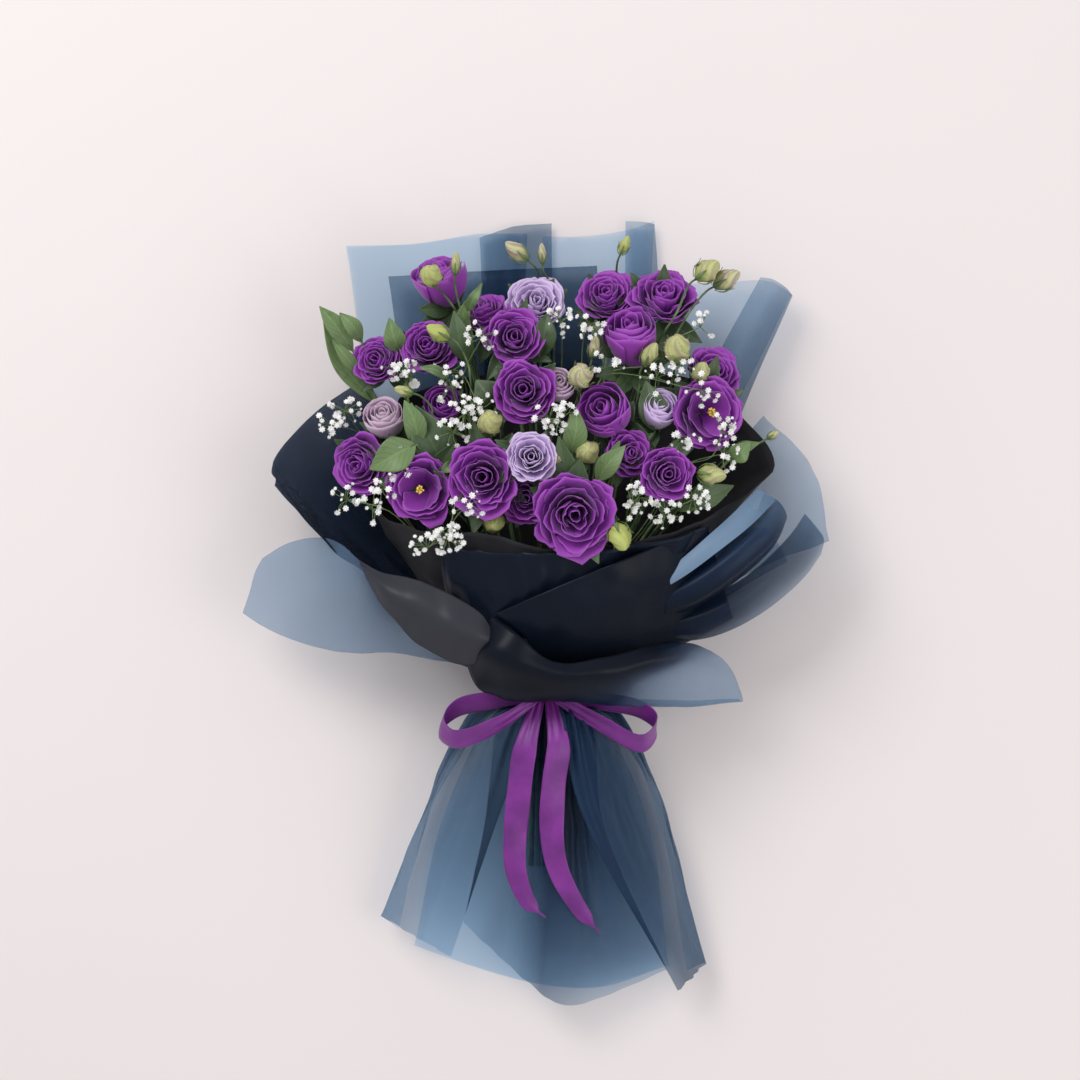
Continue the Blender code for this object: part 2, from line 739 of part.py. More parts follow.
def build_film(name, film, collection):
    """A film as a thin shell, fanned out from its neck."""
    columns = max(4, round((film.arc[1] - film.arc[0]) / NECK_STEP_DEG))
    row_places = [0.0, 1.0] + [1.0 + i / 2 for i in range(1, 2 * len(film.rails) + 1)]
    sheet = bmesh.new()
    bmesh.ops.create_grid(sheet, x_segments=columns, y_segments=len(row_places) - 1, size=1.0)
    for vert in sheet.verts:
        share = (vert.co.x + 1) / 2
        row = row_places[round((vert.co.y + 1) / 2 * (len(row_places) - 1))]
        vert.co = film_place(film, share, row) * MM
    mesh = bpy.data.meshes.new(name)
    sheet.to_mesh(mesh)
    sheet.free()
    slot = "liner_black" if film.colour == LINER_BLACK else "film_blue"
    obj = new_object(name, mesh, new_material(slot, film.colour, 0.4), collection)
    skin = obj.modifiers.new("thickness", "SOLIDIFY")
    skin.thickness = FILM_THICKNESS * MM
    skin.offset = 0.0
    return obj


def build_twine(collection):
    """The ring of twine that binds the stems."""
    bpy.ops.mesh.primitive_torus_add(
        major_segments=20, minor_segments=6,
        major_radius=TWINE_RING_RADIUS * MM, minor_radius=TWINE_RADIUS * MM,
        location=TIE * MM, rotation=(math.pi / 2, 0.0, 0.0),
    )
    obj = bpy.context.object
    obj.name = "binding_twine"
    for home in list(obj.users_collection):
        home.objects.unlink(obj)
    collection.objects.link(obj)
    obj.data.materials.append(new_material("twine_jute", TWINE_JUTE, 0.9))
    return obj


def ribbon_strip(name, route, collection, width, pinched_rows):
    """A flat strip along a route of (place, direction of its width), pinched at the rows inside the knot."""
    path = smooth_line([Vector(place) for place, _ in route], 2)
    lean = smooth_line([Vector(direction) for _, direction in route], 2)
    last = len(path) - 1
    strip = bmesh.new()
    bmesh.ops.create_grid(strip, x_segments=1, y_segments=last, size=1.0)
    for vert in strip.verts:
        row = round((vert.co.y + 1) / 2 * last)
        half = width / 2 * pinched_rows.get(row if row < last / 2 else row - last, 1.0)
        vert.co = (path[row] + lean[row].normalized() * vert.co.x * half) * MM
    mesh = bpy.data.meshes.new(name)
    strip.to_mesh(mesh)
    strip.free()
    obj = bpy.data.objects.new(name, mesh)
    collection.objects.link(obj)
    skin = obj.modifiers.new("thickness", "SOLIDIFY")
    skin.thickness = RIBBON_THICKNESS * MM
    skin.offset = 0.0
    return obj


def build_ribbon(collection, cutters):
    """The satin ribbon: a band round the neck, a knot, two loops and two tails, tied from one length."""
    band_radius = FIRST_LAYER_RADIUS + LAYER_PITCH * RIBBON_BAND_LAYER
    band_profile = ((band_radius, -5), (band_radius + 1, -5), (band_radius + 1, 5), (band_radius, 5), (band_radius, -5))
    knot_profile = ((0, -7), (6, -6), (8, 0), (6, 6), (0, 7))
    along, knot_z = Vector((0.0, 1.0, 0.0)), TIE_Z + band_radius + 8
    flat, edgeways = (0, 1, 0.25), (0, 0.45, 0.9)
    loop_left = (
        ((-1, 8, knot_z + 5), flat), ((-45, 4, knot_z + 14), flat), ((-90, -14, knot_z + 8), edgeways),
        ((-78, -36, knot_z + 3), edgeways), ((-40, -18, knot_z + 11), edgeways), ((-1, 5, knot_z + 2), flat),
    )
    loop_right = (
        ((1, 8, knot_z + 1), flat), ((50, -12, knot_z + 9), flat), ((88, -38, knot_z + 4), edgeways),
        ((98, -16, knot_z + 8), edgeways), ((60, 0, knot_z + 15), edgeways), ((1, 8, knot_z + 5), flat),
    )
    tail_left = (
        ((-3.5, 5, knot_z + 1), (1, 0, 0)), ((-15, -30, 113), (1, 0, 0.1)), ((-25, -88, 98), (1, 0, 0.2)),
        ((-20, -140, 84), (1, 0.1, 0)), ((-4, -186, 66), (1, 0.2, 0)),
    )
    tail_right = (
        ((3.5, 5, knot_z + 1), (1, 0, 0)), ((15, -30, 112), (1, 0, -0.1)), ((13, -90, 100), (1, 0, -0.2)),
        ((20, -136, 86), (1, 0.1, 0)), ((44, -200, 60), (1, 0.2, 0)),
    )
    pieces = [
        turned("band", band_profile, 24, TIE, along, cutters),
        turned("knot", knot_profile, 8, TIE + Vector((0, -4, knot_z - TIE_Z)), along, cutters),
        ribbon_strip("loop_left", loop_left, cutters, 12, {0: 0.5}),
        ribbon_strip("loop_right", loop_right, cutters, 12, {0: 0.5}),
        ribbon_strip("tail_left", tail_left, cutters, RIBBON_WIDTH, {0: 0.25, 1: 0.6}),
        ribbon_strip("tail_right", tail_right, cutters, RIBBON_WIDTH, {0: 0.25, 1: 0.6}),
    ]
    return joined("satin_ribbon", pieces, new_material("ribbon_satin", RIBBON_PURPLE, 0.35), collection, False)


def main():
    clear_scene()
    bouquet = new_collection("lisianthus_bouquet")
    cutters = new_collection("helpers")
    for name, bloom in BLOOMS.items():
        build_bloom(name, bloom, bouquet)
    for name, spray in SPRAYS.items():
        build_spray(name, spray, bouquet, cutters)
    for name, sprig in SPRIGS.items():
        build_sprig(name, sprig, bouquet, cutters)
    for name, film in FILMS.items():
        build_film(name, film, bouquet)
    build_twine(bouquet)
    build_ribbon(bouquet, cutters)
    for obj in bouquet.objects:
        obj.location += Vector(TIE_FROM_ORIGIN) * MM


main()
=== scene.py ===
"""The looks of a wrapped lisianthus bouquet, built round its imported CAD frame.

The tables give places in millimetres, measured from a point under the tie, and in_frame() turns them into the
frame's own metres. +Z is the side that the flowers face, and +Y runs from the tie to the flower heads.
"""

import logging
import math
import random
from dataclasses import dataclass, field
from enum import Enum
from typing import Callable, Sequence

import bpy
import numpy as np
from mathutils import Matrix, Vector, noise

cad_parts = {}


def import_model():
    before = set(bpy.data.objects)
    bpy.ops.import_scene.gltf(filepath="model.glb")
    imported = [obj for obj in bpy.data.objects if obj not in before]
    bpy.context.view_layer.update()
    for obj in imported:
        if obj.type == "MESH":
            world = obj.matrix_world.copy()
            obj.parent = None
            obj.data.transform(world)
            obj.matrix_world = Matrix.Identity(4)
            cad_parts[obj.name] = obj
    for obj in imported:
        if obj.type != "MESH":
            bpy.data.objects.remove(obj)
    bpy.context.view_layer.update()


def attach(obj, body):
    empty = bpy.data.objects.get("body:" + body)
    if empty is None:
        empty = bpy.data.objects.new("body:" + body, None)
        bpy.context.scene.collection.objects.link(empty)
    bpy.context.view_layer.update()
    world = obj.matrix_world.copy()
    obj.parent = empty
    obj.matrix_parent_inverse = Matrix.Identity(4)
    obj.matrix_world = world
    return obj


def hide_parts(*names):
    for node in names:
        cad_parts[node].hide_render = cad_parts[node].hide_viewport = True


LOG = logging.getLogger("bouquet")
MM = 0.001
TIE_FROM_ORIGIN = Vector((8.5, -77.0, 0.0))
Triple = tuple[float, float, float]
Shape = Callable[[np.ndarray, np.ndarray], np.ndarray]

# The tie and the stem bundle, in millimetres.
TIE_Y = 12.0
TIE_Z = 62.0
TIE = Vector((0.0, TIE_Y, TIE_Z))
STEM_PITCH = 5.5
CUT_END_Y = -150.0
CUT_END_Z = 46.0
CUT_END_SPREAD = 1.3
BLOOM_LEAD = 18.0
SHOOT_LEAD = 10.0
SHOOT_STAGGER = 0.5

# The films, gathered round the tie.
FIRST_LAYER_RADIUS = 16.8
LAYER_PITCH = 1.1
NECK_HALF_LENGTH = 8.0
FLOOR_FILM_Z = 0.3

# The twine and the ribbon.
TWINE_RADIUS = 1.0
TWINE_RING_RADIUS = 14.9
RIBBON_WIDTH = 22.0
RIBBON_BAND_LAYER = 9


class PetalColour(Enum):
    """The petal finishes of the flowers, by the names of their material slots."""

    PURPLE = "petal_purple"
    LAVENDER = "petal_lavender"
    MAUVE = "petal_mauve"


PURPLE = PetalColour.PURPLE
LAVENDER = PetalColour.LAVENDER
MAUVE = PetalColour.MAUVE


@dataclass(frozen=True)
class Bloom:
    """A flower head: the middle of its face, the way it faces, its width, its depth and its shoot's way there."""

    face: Triple
    facing: Triple
    width: float
    depth: float
    colour: PetalColour = PURPLE
    via: tuple = ()

    @property
    def axis(self) -> Vector:
        """The way the flower faces."""
        return Vector(self.facing).normalized()

    @property
    def calyx(self) -> Vector:
        """The foot of the flower, in millimetres."""
        return Vector(self.face) - self.axis * self.depth


@dataclass(frozen=True)
class Bud:
    """A closed bud on a side shoot: its foot, its tip, its width, and its shoot's way there."""

    foot: Triple
    tip: Triple
    width: float
    via: tuple

    @property
    def axis(self) -> Vector:
        """The way the bud points."""
        return (Vector(self.tip) - Vector(self.foot)).normalized()

    @property
    def length(self) -> float:
        """The bud's length in millimetres."""
        return (Vector(self.tip) - Vector(self.foot)).length


@dataclass(frozen=True)
class Leaf:
    """A leaf blade: its base, its middle and its tip, its width, and its stalk's way there."""

    base: Triple
    middle: Triple
    tip: Triple
    width: float
    via: tuple = ()


@dataclass(frozen=True)
class Spray:
    """One cut lisianthus stem: its place in the bundle, its fork, and what its shoots carry."""

    slot: tuple
    fork: Triple
    blooms: tuple
    buds: tuple = ()
    leaves: tuple = ()


@dataclass(frozen=True)
class Cluster:
    """The middle of a cluster of florets, and its thread's way there."""

    middle: Triple
    via: tuple


@dataclass(frozen=True)
class Sprig:
    """One gypsophila stem: its place in the bundle, its fork, and its clusters of florets."""

    slot: tuple
    fork: Triple
    clusters: tuple


@dataclass(frozen=True)
class Film:
    """A sheet gathered on a layer at the tie, over an arc in degrees, and the lines that it fans out through."""

    layer: int
    arc: tuple
    rails: tuple
    towards: int = 1


BLOOMS = {
    "bloom_01": Bloom((-96, 385, 84), (-0.25, 0.8, 0.45), 43, 42),
    "bloom_02": Bloom((-57, 352, 90), (-0.2, 0.75, 0.6), 38, 34),
    "bloom_03": Bloom((-7, 355, 92), (0.05, 0.35, 0.95), 44, 34, LAVENDER),
    "bloom_04": Bloom((-26, 320, 130), (0.1, 0.15, 0.95), 42, 36),
    "bloom_05": Bloom((53, 364, 84), (-0.1, 0.5, 0.85), 42, 34),
    "bloom_06": Bloom((107, 364, 92), (0.1, 0.6, 0.8), 50, 38),
    "bloom_07": Bloom((73, 334, 132), (-0.1, 0.65, 0.65), 42, 56),
    "bloom_08": Bloom((153, 293, 97), (0.3, 0.4, 0.85), 40, 32),
    "bloom_09": Bloom((146, 252, 142), (0.25, 0.0, 0.95), 54, 40),
    "bloom_10": Bloom((-152, 302, 100), (-0.3, 0.25, 0.9), 38, 34),
    "bloom_11": Bloom((-105, 315, 112), (-0.15, 0.25, 0.95), 43, 36),
    "bloom_12": Bloom((-19, 272, 165), (-0.05, 0.1, 1.0), 45, 38),
    "bloom_13": Bloom((-90, 262, 120), (-0.1, 0.3, 0.9), 30, 26),
    "bloom_14": Bloom((46, 258, 160), (-0.35, 0.35, 0.85), 42, 46),
    "bloom_15": Bloom((76, 217, 158), (0.3, 0.1, 0.95), 35, 28),
    "bloom_16": Bloom((-143, 255, 128), (-0.15, 0.6, 0.75), 33, 34, MAUVE),
    "bloom_17": Bloom((102, 261, 134), (0.2, 0.5, 0.85), 32, 34, LAVENDER),
    "bloom_18": Bloom((-168, 206, 128), (-0.45, -0.05, 0.9), 46, 36),
    "bloom_19": Bloom((-109, 184, 168), (-0.15, -0.1, 1.0), 51, 40),
    "bloom_20": Bloom((-55, 195, 184), (-0.1, 0.0, 1.0), 54, 40),
    "bloom_21": Bloom((-12, 213, 196), (0.0, 0.1, 1.0), 38, 34, LAVENDER, ((4, 170, 120), (-6, 206, 138))),
    "bloom_22": Bloom((-17, 176, 166), (-0.1, -0.1, 1.0), 42, 32),
    "bloom_23": Bloom((26, 160, 203), (0.05, -0.2, 1.0), 62, 42),
    "bloom_24": Bloom((108, 198, 170), (0.2, 0.0, 1.0), 40, 32),
    "bloom_25": Bloom((13, 281, 146), (0.15, 0.45, 0.9), 26, 32, MAUVE),
}

# A slot is (angle in degrees round the bundle, distance from its middle in stem pitches).
SPRAYS = {
    "spray_stem_01": Spray(
        (210, 2.0), (-62, 150, 78), ("bloom_10", "bloom_11"),
        (Bud((-83, 316, 136), (-103, 327, 142), 14, ((-66, 230, 108), (-66, 290, 130))),),
        (
            Leaf((-150, 262, 64), (-180, 298, 72), (-197, 346, 92), 18, ((-110, 200, 66),)),
            Leaf((-124, 270, 58), (-130, 312, 66), (-138, 336, 82), 20, ((-96, 210, 60),)),
        ),
    ),
    "spray_stem_02": Spray(
        (180, 1.732), (-52, 95, 82), ("bloom_18", "bloom_16"),
        (Bud((-115, 268, 140), (-131, 273, 142), 9, ((-120, 196, 104), (-106, 224, 136), (-98, 254, 140))),),
        (
            Leaf((-113, 221, 140), (-131, 219, 148), (-149, 204, 147), 24, ((-96, 150, 88), (-120, 196, 104))),
            Leaf((-112, 226, 134), (-115, 242, 146), (-116, 260, 146), 15, ((-98, 156, 93), (-117, 200, 108))),
        ),
    ),
    "spray_stem_03": Spray(
        (150, 1.0), (-30, 80, 94), ("bloom_20", "bloom_19", "bloom_13"),
        (
            Bud((-46, 238, 152), (-49, 247, 178), 21, ((-46, 165, 106), (-46, 222, 128))),
            Bud((-44, 160, 140), (-46, 152, 164), 19, ((-40, 120, 108), (-43, 160, 118))),
        ),
        (Leaf((-84, 196, 116), (-90, 214, 126), (-84, 240, 134), 20, ((-60, 140, 100),)),),
    ),
    "spray_stem_04": Spray(
        (90, 1.0), (2, 80, 104), ("bloom_23", "bloom_22", "bloom_21"),
        (
            Bud((60, 155, 178), (68, 132, 195), 19, ((36, 124, 130), (50, 166, 158))),
            Bud((10, 208, 168), (11, 212, 180), 7, ((6, 150, 124), (8, 196, 150))),
        ),
    ),
    "spray_stem_05": Spray(
        (0, 0.0), (6, 110, 88), ("bloom_12", "bloom_25"),
        (
            Bud((29, 277, 160), (32, 288, 184), 21, ((22, 225, 120), (29, 262, 132))),
            Bud((36, 215, 152), (37, 218, 178), 21, ((26, 170, 110), (35, 208, 132))),
        ),
        (
            Leaf((20, 196, 130), (23, 226, 150), (22, 250, 156), 16, ((14, 160, 104),)),
            Leaf((46, 192, 150), (55, 206, 168), (64, 226, 174), 15, ((24, 150, 104), (36, 178, 124))),
        ),
    ),
    "spray_stem_06": Spray(
        (210, 1.0), (-30, 150, 66), ("bloom_02", "bloom_01"),
        (
            Bud((-98, 368, 114), (-101, 376, 138), 19, ((-70, 325, 88), (-82, 348, 100))),
            Bud((-79, 374, 104), (-78, 394, 110), 8, ((-67, 320, 84), (-76, 350, 100))),
        ),
        (Leaf((-68, 316, 92), (-72, 338, 104), (-62, 358, 112), 12, ((-52, 240, 70),)),),
    ),
    "spray_stem_07": Spray(
        (270, 1.0), (-6, 150, 72), ("bloom_04", "bloom_03"),
        (
            Bud((-15, 388, 80), (-35, 404, 88), 14, ((4, 300, 48), (-3, 370, 60))),
            Bud((-2, 385, 86), (-3, 403, 92), 7, ((8, 300, 50), (5, 368, 62))),
            Bud((41, 300, 118), (45, 319, 128), 10, ((20, 240, 92), (36, 285, 106))),
        ),
    ),
    "spray_stem_08": Spray(
        (330, 1.0), (38, 150, 72), ("bloom_07", "bloom_05", "bloom_06"),
        (
            Bud((67, 394, 72), (74, 410, 80), 9, ((66, 310, 42), (64, 370, 52))),
            Bud((86, 293, 128), (97, 312, 142), 13, ((72, 230, 98), (83, 276, 116))),
        ),
    ),
    "spray_stem_09": Spray(
        (0, 1.732), (68, 130, 80), ("bloom_08", "bloom_17"),
        (
            Bud((132, 369, 116), (152, 384, 124), 19, ((96, 306, 100), (116, 341, 112))),
            Bud((148, 363, 104), (171, 376, 112), 17, ((106, 300, 92), (127, 341, 100))),
            Bud((114, 297, 122), (116, 318, 144), 24, ((100, 235, 90), (112, 282, 104))),
            Bud((133, 280, 116), (139, 295, 134), 16, ((118, 240, 86), (126, 266, 98))),
        ),
    ),
    "spray_stem_10": Spray(
        (30, 1.0), (48, 90, 94), ("bloom_24", "bloom_15", "bloom_14", "bloom_09"),
        (
            Bud((132, 199, 148), (157, 196, 156), 17, ((108, 164, 122), (122, 190, 138))),
            Bud((195, 230, 112), (205, 236, 114), 6, ((130, 176, 112), (172, 220, 108))),
        ),
        (
            Leaf((112, 168, 134), (134, 178, 142), (158, 180, 144), 20, ((84, 134, 116),)),
            Leaf((160, 214, 106), (174, 222, 112), (188, 226, 114), 12, ((108, 160, 104),)),
        ),
    ),
}

SPRIGS = {
    "gypsophila_sprig_01": Sprig(
        (240, 1.732), (-58, 118, 50),
        (
            Cluster((-128, 293, 124), ((-112, 220, 66), (-123, 282, 90))),
            Cluster((-176, 254, 112), ((-140, 196, 66), (-162, 234, 84))),
            Cluster((-84, 288, 132), ((-66, 200, 46), (-72, 284, 104))),
        ),
    ),
    "gypsophila_sprig_02": Sprig(
        (150, 2.0), (-56, 84, 104),
        (
            Cluster((-150, 168, 150), ((-104, 134, 126), (-136, 166, 134))),
            Cluster((-141, 187, 156), ((-104, 138, 122), (-134, 178, 136))),
            Cluster((-84, 142, 180), ((-68, 116, 128), (-80, 154, 158))),
        ),
    ),
    "gypsophila_sprig_03": Sprig(
        (120, 1.732), (-18, 96, 100),
        (
            Cluster((-70, 250, 168), ((-26, 170, 120), (-40, 214, 136), (-62, 238, 146))),
            Cluster((-80, 234, 160), ((-28, 160, 122), (-62, 226, 138))),
            Cluster((4, 246, 178), ((0, 165, 112), (2, 228, 144))),
        ),
    ),
    "gypsophila_sprig_04": Sprig(
        (300, 1.732), (16, 150, 56),
        (
            Cluster((14, 332, 124), ((14, 240, 70), (15, 314, 94))),
            Cluster((40, 330, 130), ((30, 240, 70), (34, 318, 98))),
            Cluster((54, 292, 138), ((44, 230, 76), (50, 284, 104))),
        ),
    ),
    "gypsophila_sprig_05": Sprig(
        (60, 1.732), (28, 92, 114),
        (
            Cluster((80, 178, 172), ((54, 126, 136), (76, 168, 152))),
            Cluster((104, 165, 166), ((68, 120, 134), (98, 160, 146))),
            Cluster((121, 230, 150), ((84, 150, 118), (114, 205, 122))),
            Cluster((156, 215, 148), ((86, 148, 122), (120, 204, 118), (146, 214, 126))),
        ),
    ),
}

FILMS = {
    "black_liner": Film(
        0, (-15, 195),
        (
            (
                (96, 128, 42), (108, 104, 75), (92, 82, 100), (62, 70, 122), (0, 64, 134),
                (-62, 70, 122), (-90, 84, 100), (-104, 98, 78), (-96, 124, 45),
            ),
            (
                (166, 262, 52), (202, 208, 92), (136, 158, 148), (66, 137, 166), (0, 134, 169),
                (-50, 146, 168), (-112, 150, 152), (-158, 176, 118), (-168, 236, 62),
            ),
        ),
    ),
    "inner_back_film": Film(
        0, (210, 330),
        (
            ((-58, 105, 30), (-25, 112, 18), (5, 114, 16), (35, 108, 22)),
            ((-118, 245, 24), (-60, 255, 15), (0, 258, 14), (52, 250, 16)),
            ((-141, 378, 22), (-66, 383, 15), (0, 386, 15), (47, 388, 18)),
        ),
    ),
    "front_collar_film": Film(
        1, (30, 150),
        (
            ((86, 70, 120), (40, 58, 138), (0, 55, 144), (-40, 58, 140), (-80, 72, 120)),
            ((130, 148, 160), (64, 134, 174), (0, 130, 177), (-50, 130, 176), (-92, 136, 168)),
        ),
    ),
    "back_film_fold": Film(
        1, (255, 300),
        (
            ((-18, 112, 11), (-4, 114, 10), (12, 112, 10)),
            ((-50, 250, 7), (-22, 255, 8), (8, 252, 7)),
            ((-59, 414, 6), (-28, 424, 9), (6, 427, 7)),
        ),
    ),
    "left_side_film": Film(
        1, (165, 225),
        (
            ((-112, 78, 82), (-116, 92, 56), (-96, 104, 34), (-66, 108, 20)),
            ((-182, 130, 106), (-190, 150, 66), (-160, 186, 34), (-122, 205, 14)),
            ((-238, 189, 96), (-240, 212, 72), (-206, 255, 36), (-164, 286, 14)),
        ),
    ),
    "right_rolled_film": Film(
        1, (304, 345),
        (
            ((36, 108, 14), (55, 106, 16), (76, 102, 26)),
            ((70, 245, 14), (118, 245, 14), (158, 236, 38)),
            ((56, 380, 14), (140, 372, 13), (200, 374, 20), (222, 361, 36)),
        ),
    ),
    "back_film_right": Film(
        2, (270, 315),
        (
            ((4, 116, 4.5), (22, 115, 4.5), (42, 110, 6)),
            ((-2, 255, 3), (45, 256, 3), (86, 250, 3.5)),
            ((-2, 415, 3), (40, 416, 3), (78, 422, 4), (99, 429, 8)),
        ),
    ),
    "right_side_film": Film(
        2, (345, 375),
        (
            ((84, 98, 22), (104, 88, 44), (110, 76, 66)),
            ((168, 214, 24), (196, 172, 52), (206, 122, 76)),
            ((196, 252, 44), (238, 204, 70), (251, 140, 88)),
        ),
    ),
    "left_wing_film": Film(
        2, (130, 180),
        (
            ((-46, 54, 147), (-72, 44, 122), (-80, 24, 86)),
            ((-104, 102, 150), (-132, 76, 130), (-140, 38, 92)),
            ((-192, 143, 124), (-250, 112, 92), (-268, 75, 62)),
        ),
    ),
    "back_film_left": Film(
        3, (225, 270),
        (
            ((-66, 110, 4), (-32, 116, FLOOR_FILM_Z), (-2, 118, FLOOR_FILM_Z)),
            ((-150, 245, 3), (-85, 255, FLOOR_FILM_Z), (-20, 258, FLOOR_FILM_Z)),
            ((-180, 407, FLOOR_FILM_Z), (-119, 409, FLOOR_FILM_Z), (-57, 418, FLOOR_FILM_Z), (-16, 418, FLOOR_FILM_Z)),
        ),
    ),
    "right_lower_film": Film(
        3, (0, 27),
        (
            ((98, 56, 70), (102, 56, 92), (96, 56, 110)),
            ((214, 122, 96), (194, 150, 116), (168, 150, 138)),
        ),
    ),
    "right_wing_film": Film(
        3, (60, 126),
        (
            ((34, 28, 112), (22, 32, 124), (-6, 33, 132), (-34, 28, 124)),
            ((92, 0, 112), (64, 44, 134), (0, 46, 154), (-62, 38, 150)),
            ((172, -2, 84), (140, 46, 118), (40, 62, 158), (-52, 76, 166)),
        ),
    ),
    "skirt_back": Film(
        5, (210, 330),
        (
            ((-46, -14, 26), (-20, -22, 14), (0, -24, 12), (20, -22, 14), (46, -14, 26)),
            ((-92, -110, 5), (-40, -122, FLOOR_FILM_Z), (0, -126, FLOOR_FILM_Z), (40, -122, FLOOR_FILM_Z), (92, -110, 5)),
            ((-118, -226, 4), (-50, -250, FLOOR_FILM_Z), (0, -262, FLOOR_FILM_Z), (50, -264, FLOOR_FILM_Z), (112, -244, 4)),
        ),
        -1,
    ),
    "skirt_centre": Film(
        6, (45, 135),
        (
            ((38, -14, 86), (0, -18, 93), (-38, -14, 85)),
            ((52, -112, 64), (6, -120, 74), (-54, -114, 64)),
            ((110, -246, 22), (18, -275, 44), (-24, -248, 34), (-73, -202, 30)),
        ),
        -1,
    ),
    "skirt_left": Film(
        7, (90, 210),
        (
            ((-8, -14, 99), (-42, -14, 92), (-62, -14, 64), (-54, -18, 34)),
            ((-38, -95, 86), (-74, -96, 78), (-104, -92, 46), (-100, -98, 12)),
            ((-84, -231, 48), (-116, -214, 44), (-146, -198, 24), (-132, -210, 9)),
        ),
        -1,
    ),
    "skirt_right": Film(
        8, (-30, 75),
        (
            ((56, -18, 34), (64, -14, 66), (46, -14, 98), (14, -14, 105)),
            ((98, -92, 12), (100, -84, 46), (70, -92, 80), (30, -95, 90)),
            ((128, -248, 9), (143, -240, 26), (130, -252, 42), (119, -262, 46)),
        ),
        -1,
    ),
}

# More clusters of florets: the sprig that carries each, and its middle.
EXTRA_CLUSTERS = (
    ("gypsophila_sprig_01", (-54, 320, 128)), ("gypsophila_sprig_01", (-119, 284, 128)),
    ("gypsophila_sprig_01", (-84, 273, 138)), ("gypsophila_sprig_01", (-57, 255, 164)),
    ("gypsophila_sprig_01", (-189, 242, 114)), ("gypsophila_sprig_02", (-128, 209, 152)),
    ("gypsophila_sprig_02", (-172, 176, 142)), ("gypsophila_sprig_02", (-101, 134, 176)),
    ("gypsophila_sprig_02", (-66, 172, 186)), ("gypsophila_sprig_03", (13, 246, 178)),
    ("gypsophila_sprig_03", (-84, 141, 182)), ("gypsophila_sprig_04", (97, 282, 142)),
    ("gypsophila_sprig_04", (115, 294, 138)), ("gypsophila_sprig_04", (136, 327, 128)),
    ("gypsophila_sprig_04", (136, 271, 150)), ("gypsophila_sprig_05", (75, 172, 178)),
    ("gypsophila_sprig_05", (154, 238, 142)), ("gypsophila_sprig_05", (128, 176, 162)),
)
OPEN_CENTRES = ("bloom_09", "bloom_19")
HALF_OPEN = ("bloom_01", "bloom_07", "bloom_13", "bloom_14", "bloom_16", "bloom_17", "bloom_25")

# How much of a film's own colour shows, for the layers stacked there and for painted shade in its folds and hollows:
# rows from the neck out to the edge, each across the film's arc.
COVER = {
    "black_liner": ((1.0, 1.0), (1.0, 1.0)),
    "inner_back_film": ((0.8, 0.8, 0.8), (0.5, 0.5, 0.5), (0.30, 0.36, 0.42)),
    "front_collar_film": ((0.95, 0.95, 0.95), (0.93, 0.93, 0.93), (0.90, 0.90, 0.90)),
    "back_film_fold": ((0.6, 0.6, 0.6), (0.22, 0.26, 0.3), (0.16, 0.30, 0.26)),
    "left_side_film": ((0.95, 0.95, 0.9), (0.9, 0.88, 0.80), (0.82, 0.78, 0.66)),
    "right_rolled_film": ((0.6, 0.6, 0.6), (0.10, 0.12, 0.10), (0.02, 0.02, 0.05)),
    "back_film_right": ((0.5, 0.5, 0.5), (0.06, 0.06, 0.06), (0.0, 0.0, 0.02)),
    "right_side_film": ((0.9, 0.9, 0.9), (0.36, 0.26, 0.30), (0.20, 0.16, 0.22)),
    "back_film_left": ((0.5, 0.5, 0.5), (0.06, 0.06, 0.06), (0.0, 0.0, 0.01)),
    "right_lower_film": ((0.95, 0.95, 0.95), (0.50, 0.60, 0.60), (0.12, 0.16, 0.20)),
    "skirt_back": ((0.5, 0.5, 0.5), (0.05, 0.06, 0.05), (0.0, 0.01, 0.0)),
    "skirt_centre": (
        (0.9, 0.96, 0.96, 0.8, 0.5), (0.6, 0.96, 0.93, 0.35, 0.15), (0.36, 0.85, 0.85, 0.12, 0.05),
        (0.08, 0.10, 0.36, 0.05, 0.02),
    ),
    "skirt_left": ((0.6, 0.6, 0.6, 0.6, 0.3), (0.26, 0.34, 0.52, 0.30, 0.0), (0.03, 0.05, 0.28, 0.16, 0.0)),
    "skirt_right": ((0.3, 0.6, 0.7, 0.7, 0.6), (0.0, 0.25, 0.52, 0.56, 0.40), (0.0, 0.2, 0.42, 0.46, 0.36)),
}


# Films given painted light where the lamps fall on them: how much of the painted lit tone they take where they are
# sheer and where they are deep.
LIT_FILMS = {"right_side_film": (0.8, 0.0), "skirt_left": (0.3, 0.0)}


@dataclass(frozen=True)
class Patch:
    """A sheet through rows of places, each with how much of the film's own colour shows there, for its layers and for
    painted shade in its folds.
    """

    rows: tuple
    stands_for: str = ""
    slot: str = "film_blue"
    # pale: how much of the painted reflection of the film's glossy inside face shows
    pale: float = 0.0
    # lit: the share of painted light where the film is sheer and where it is deep
    lit: tuple = (0.0, 0.0)
    held: str = "folded"
    slack: float = 1.0


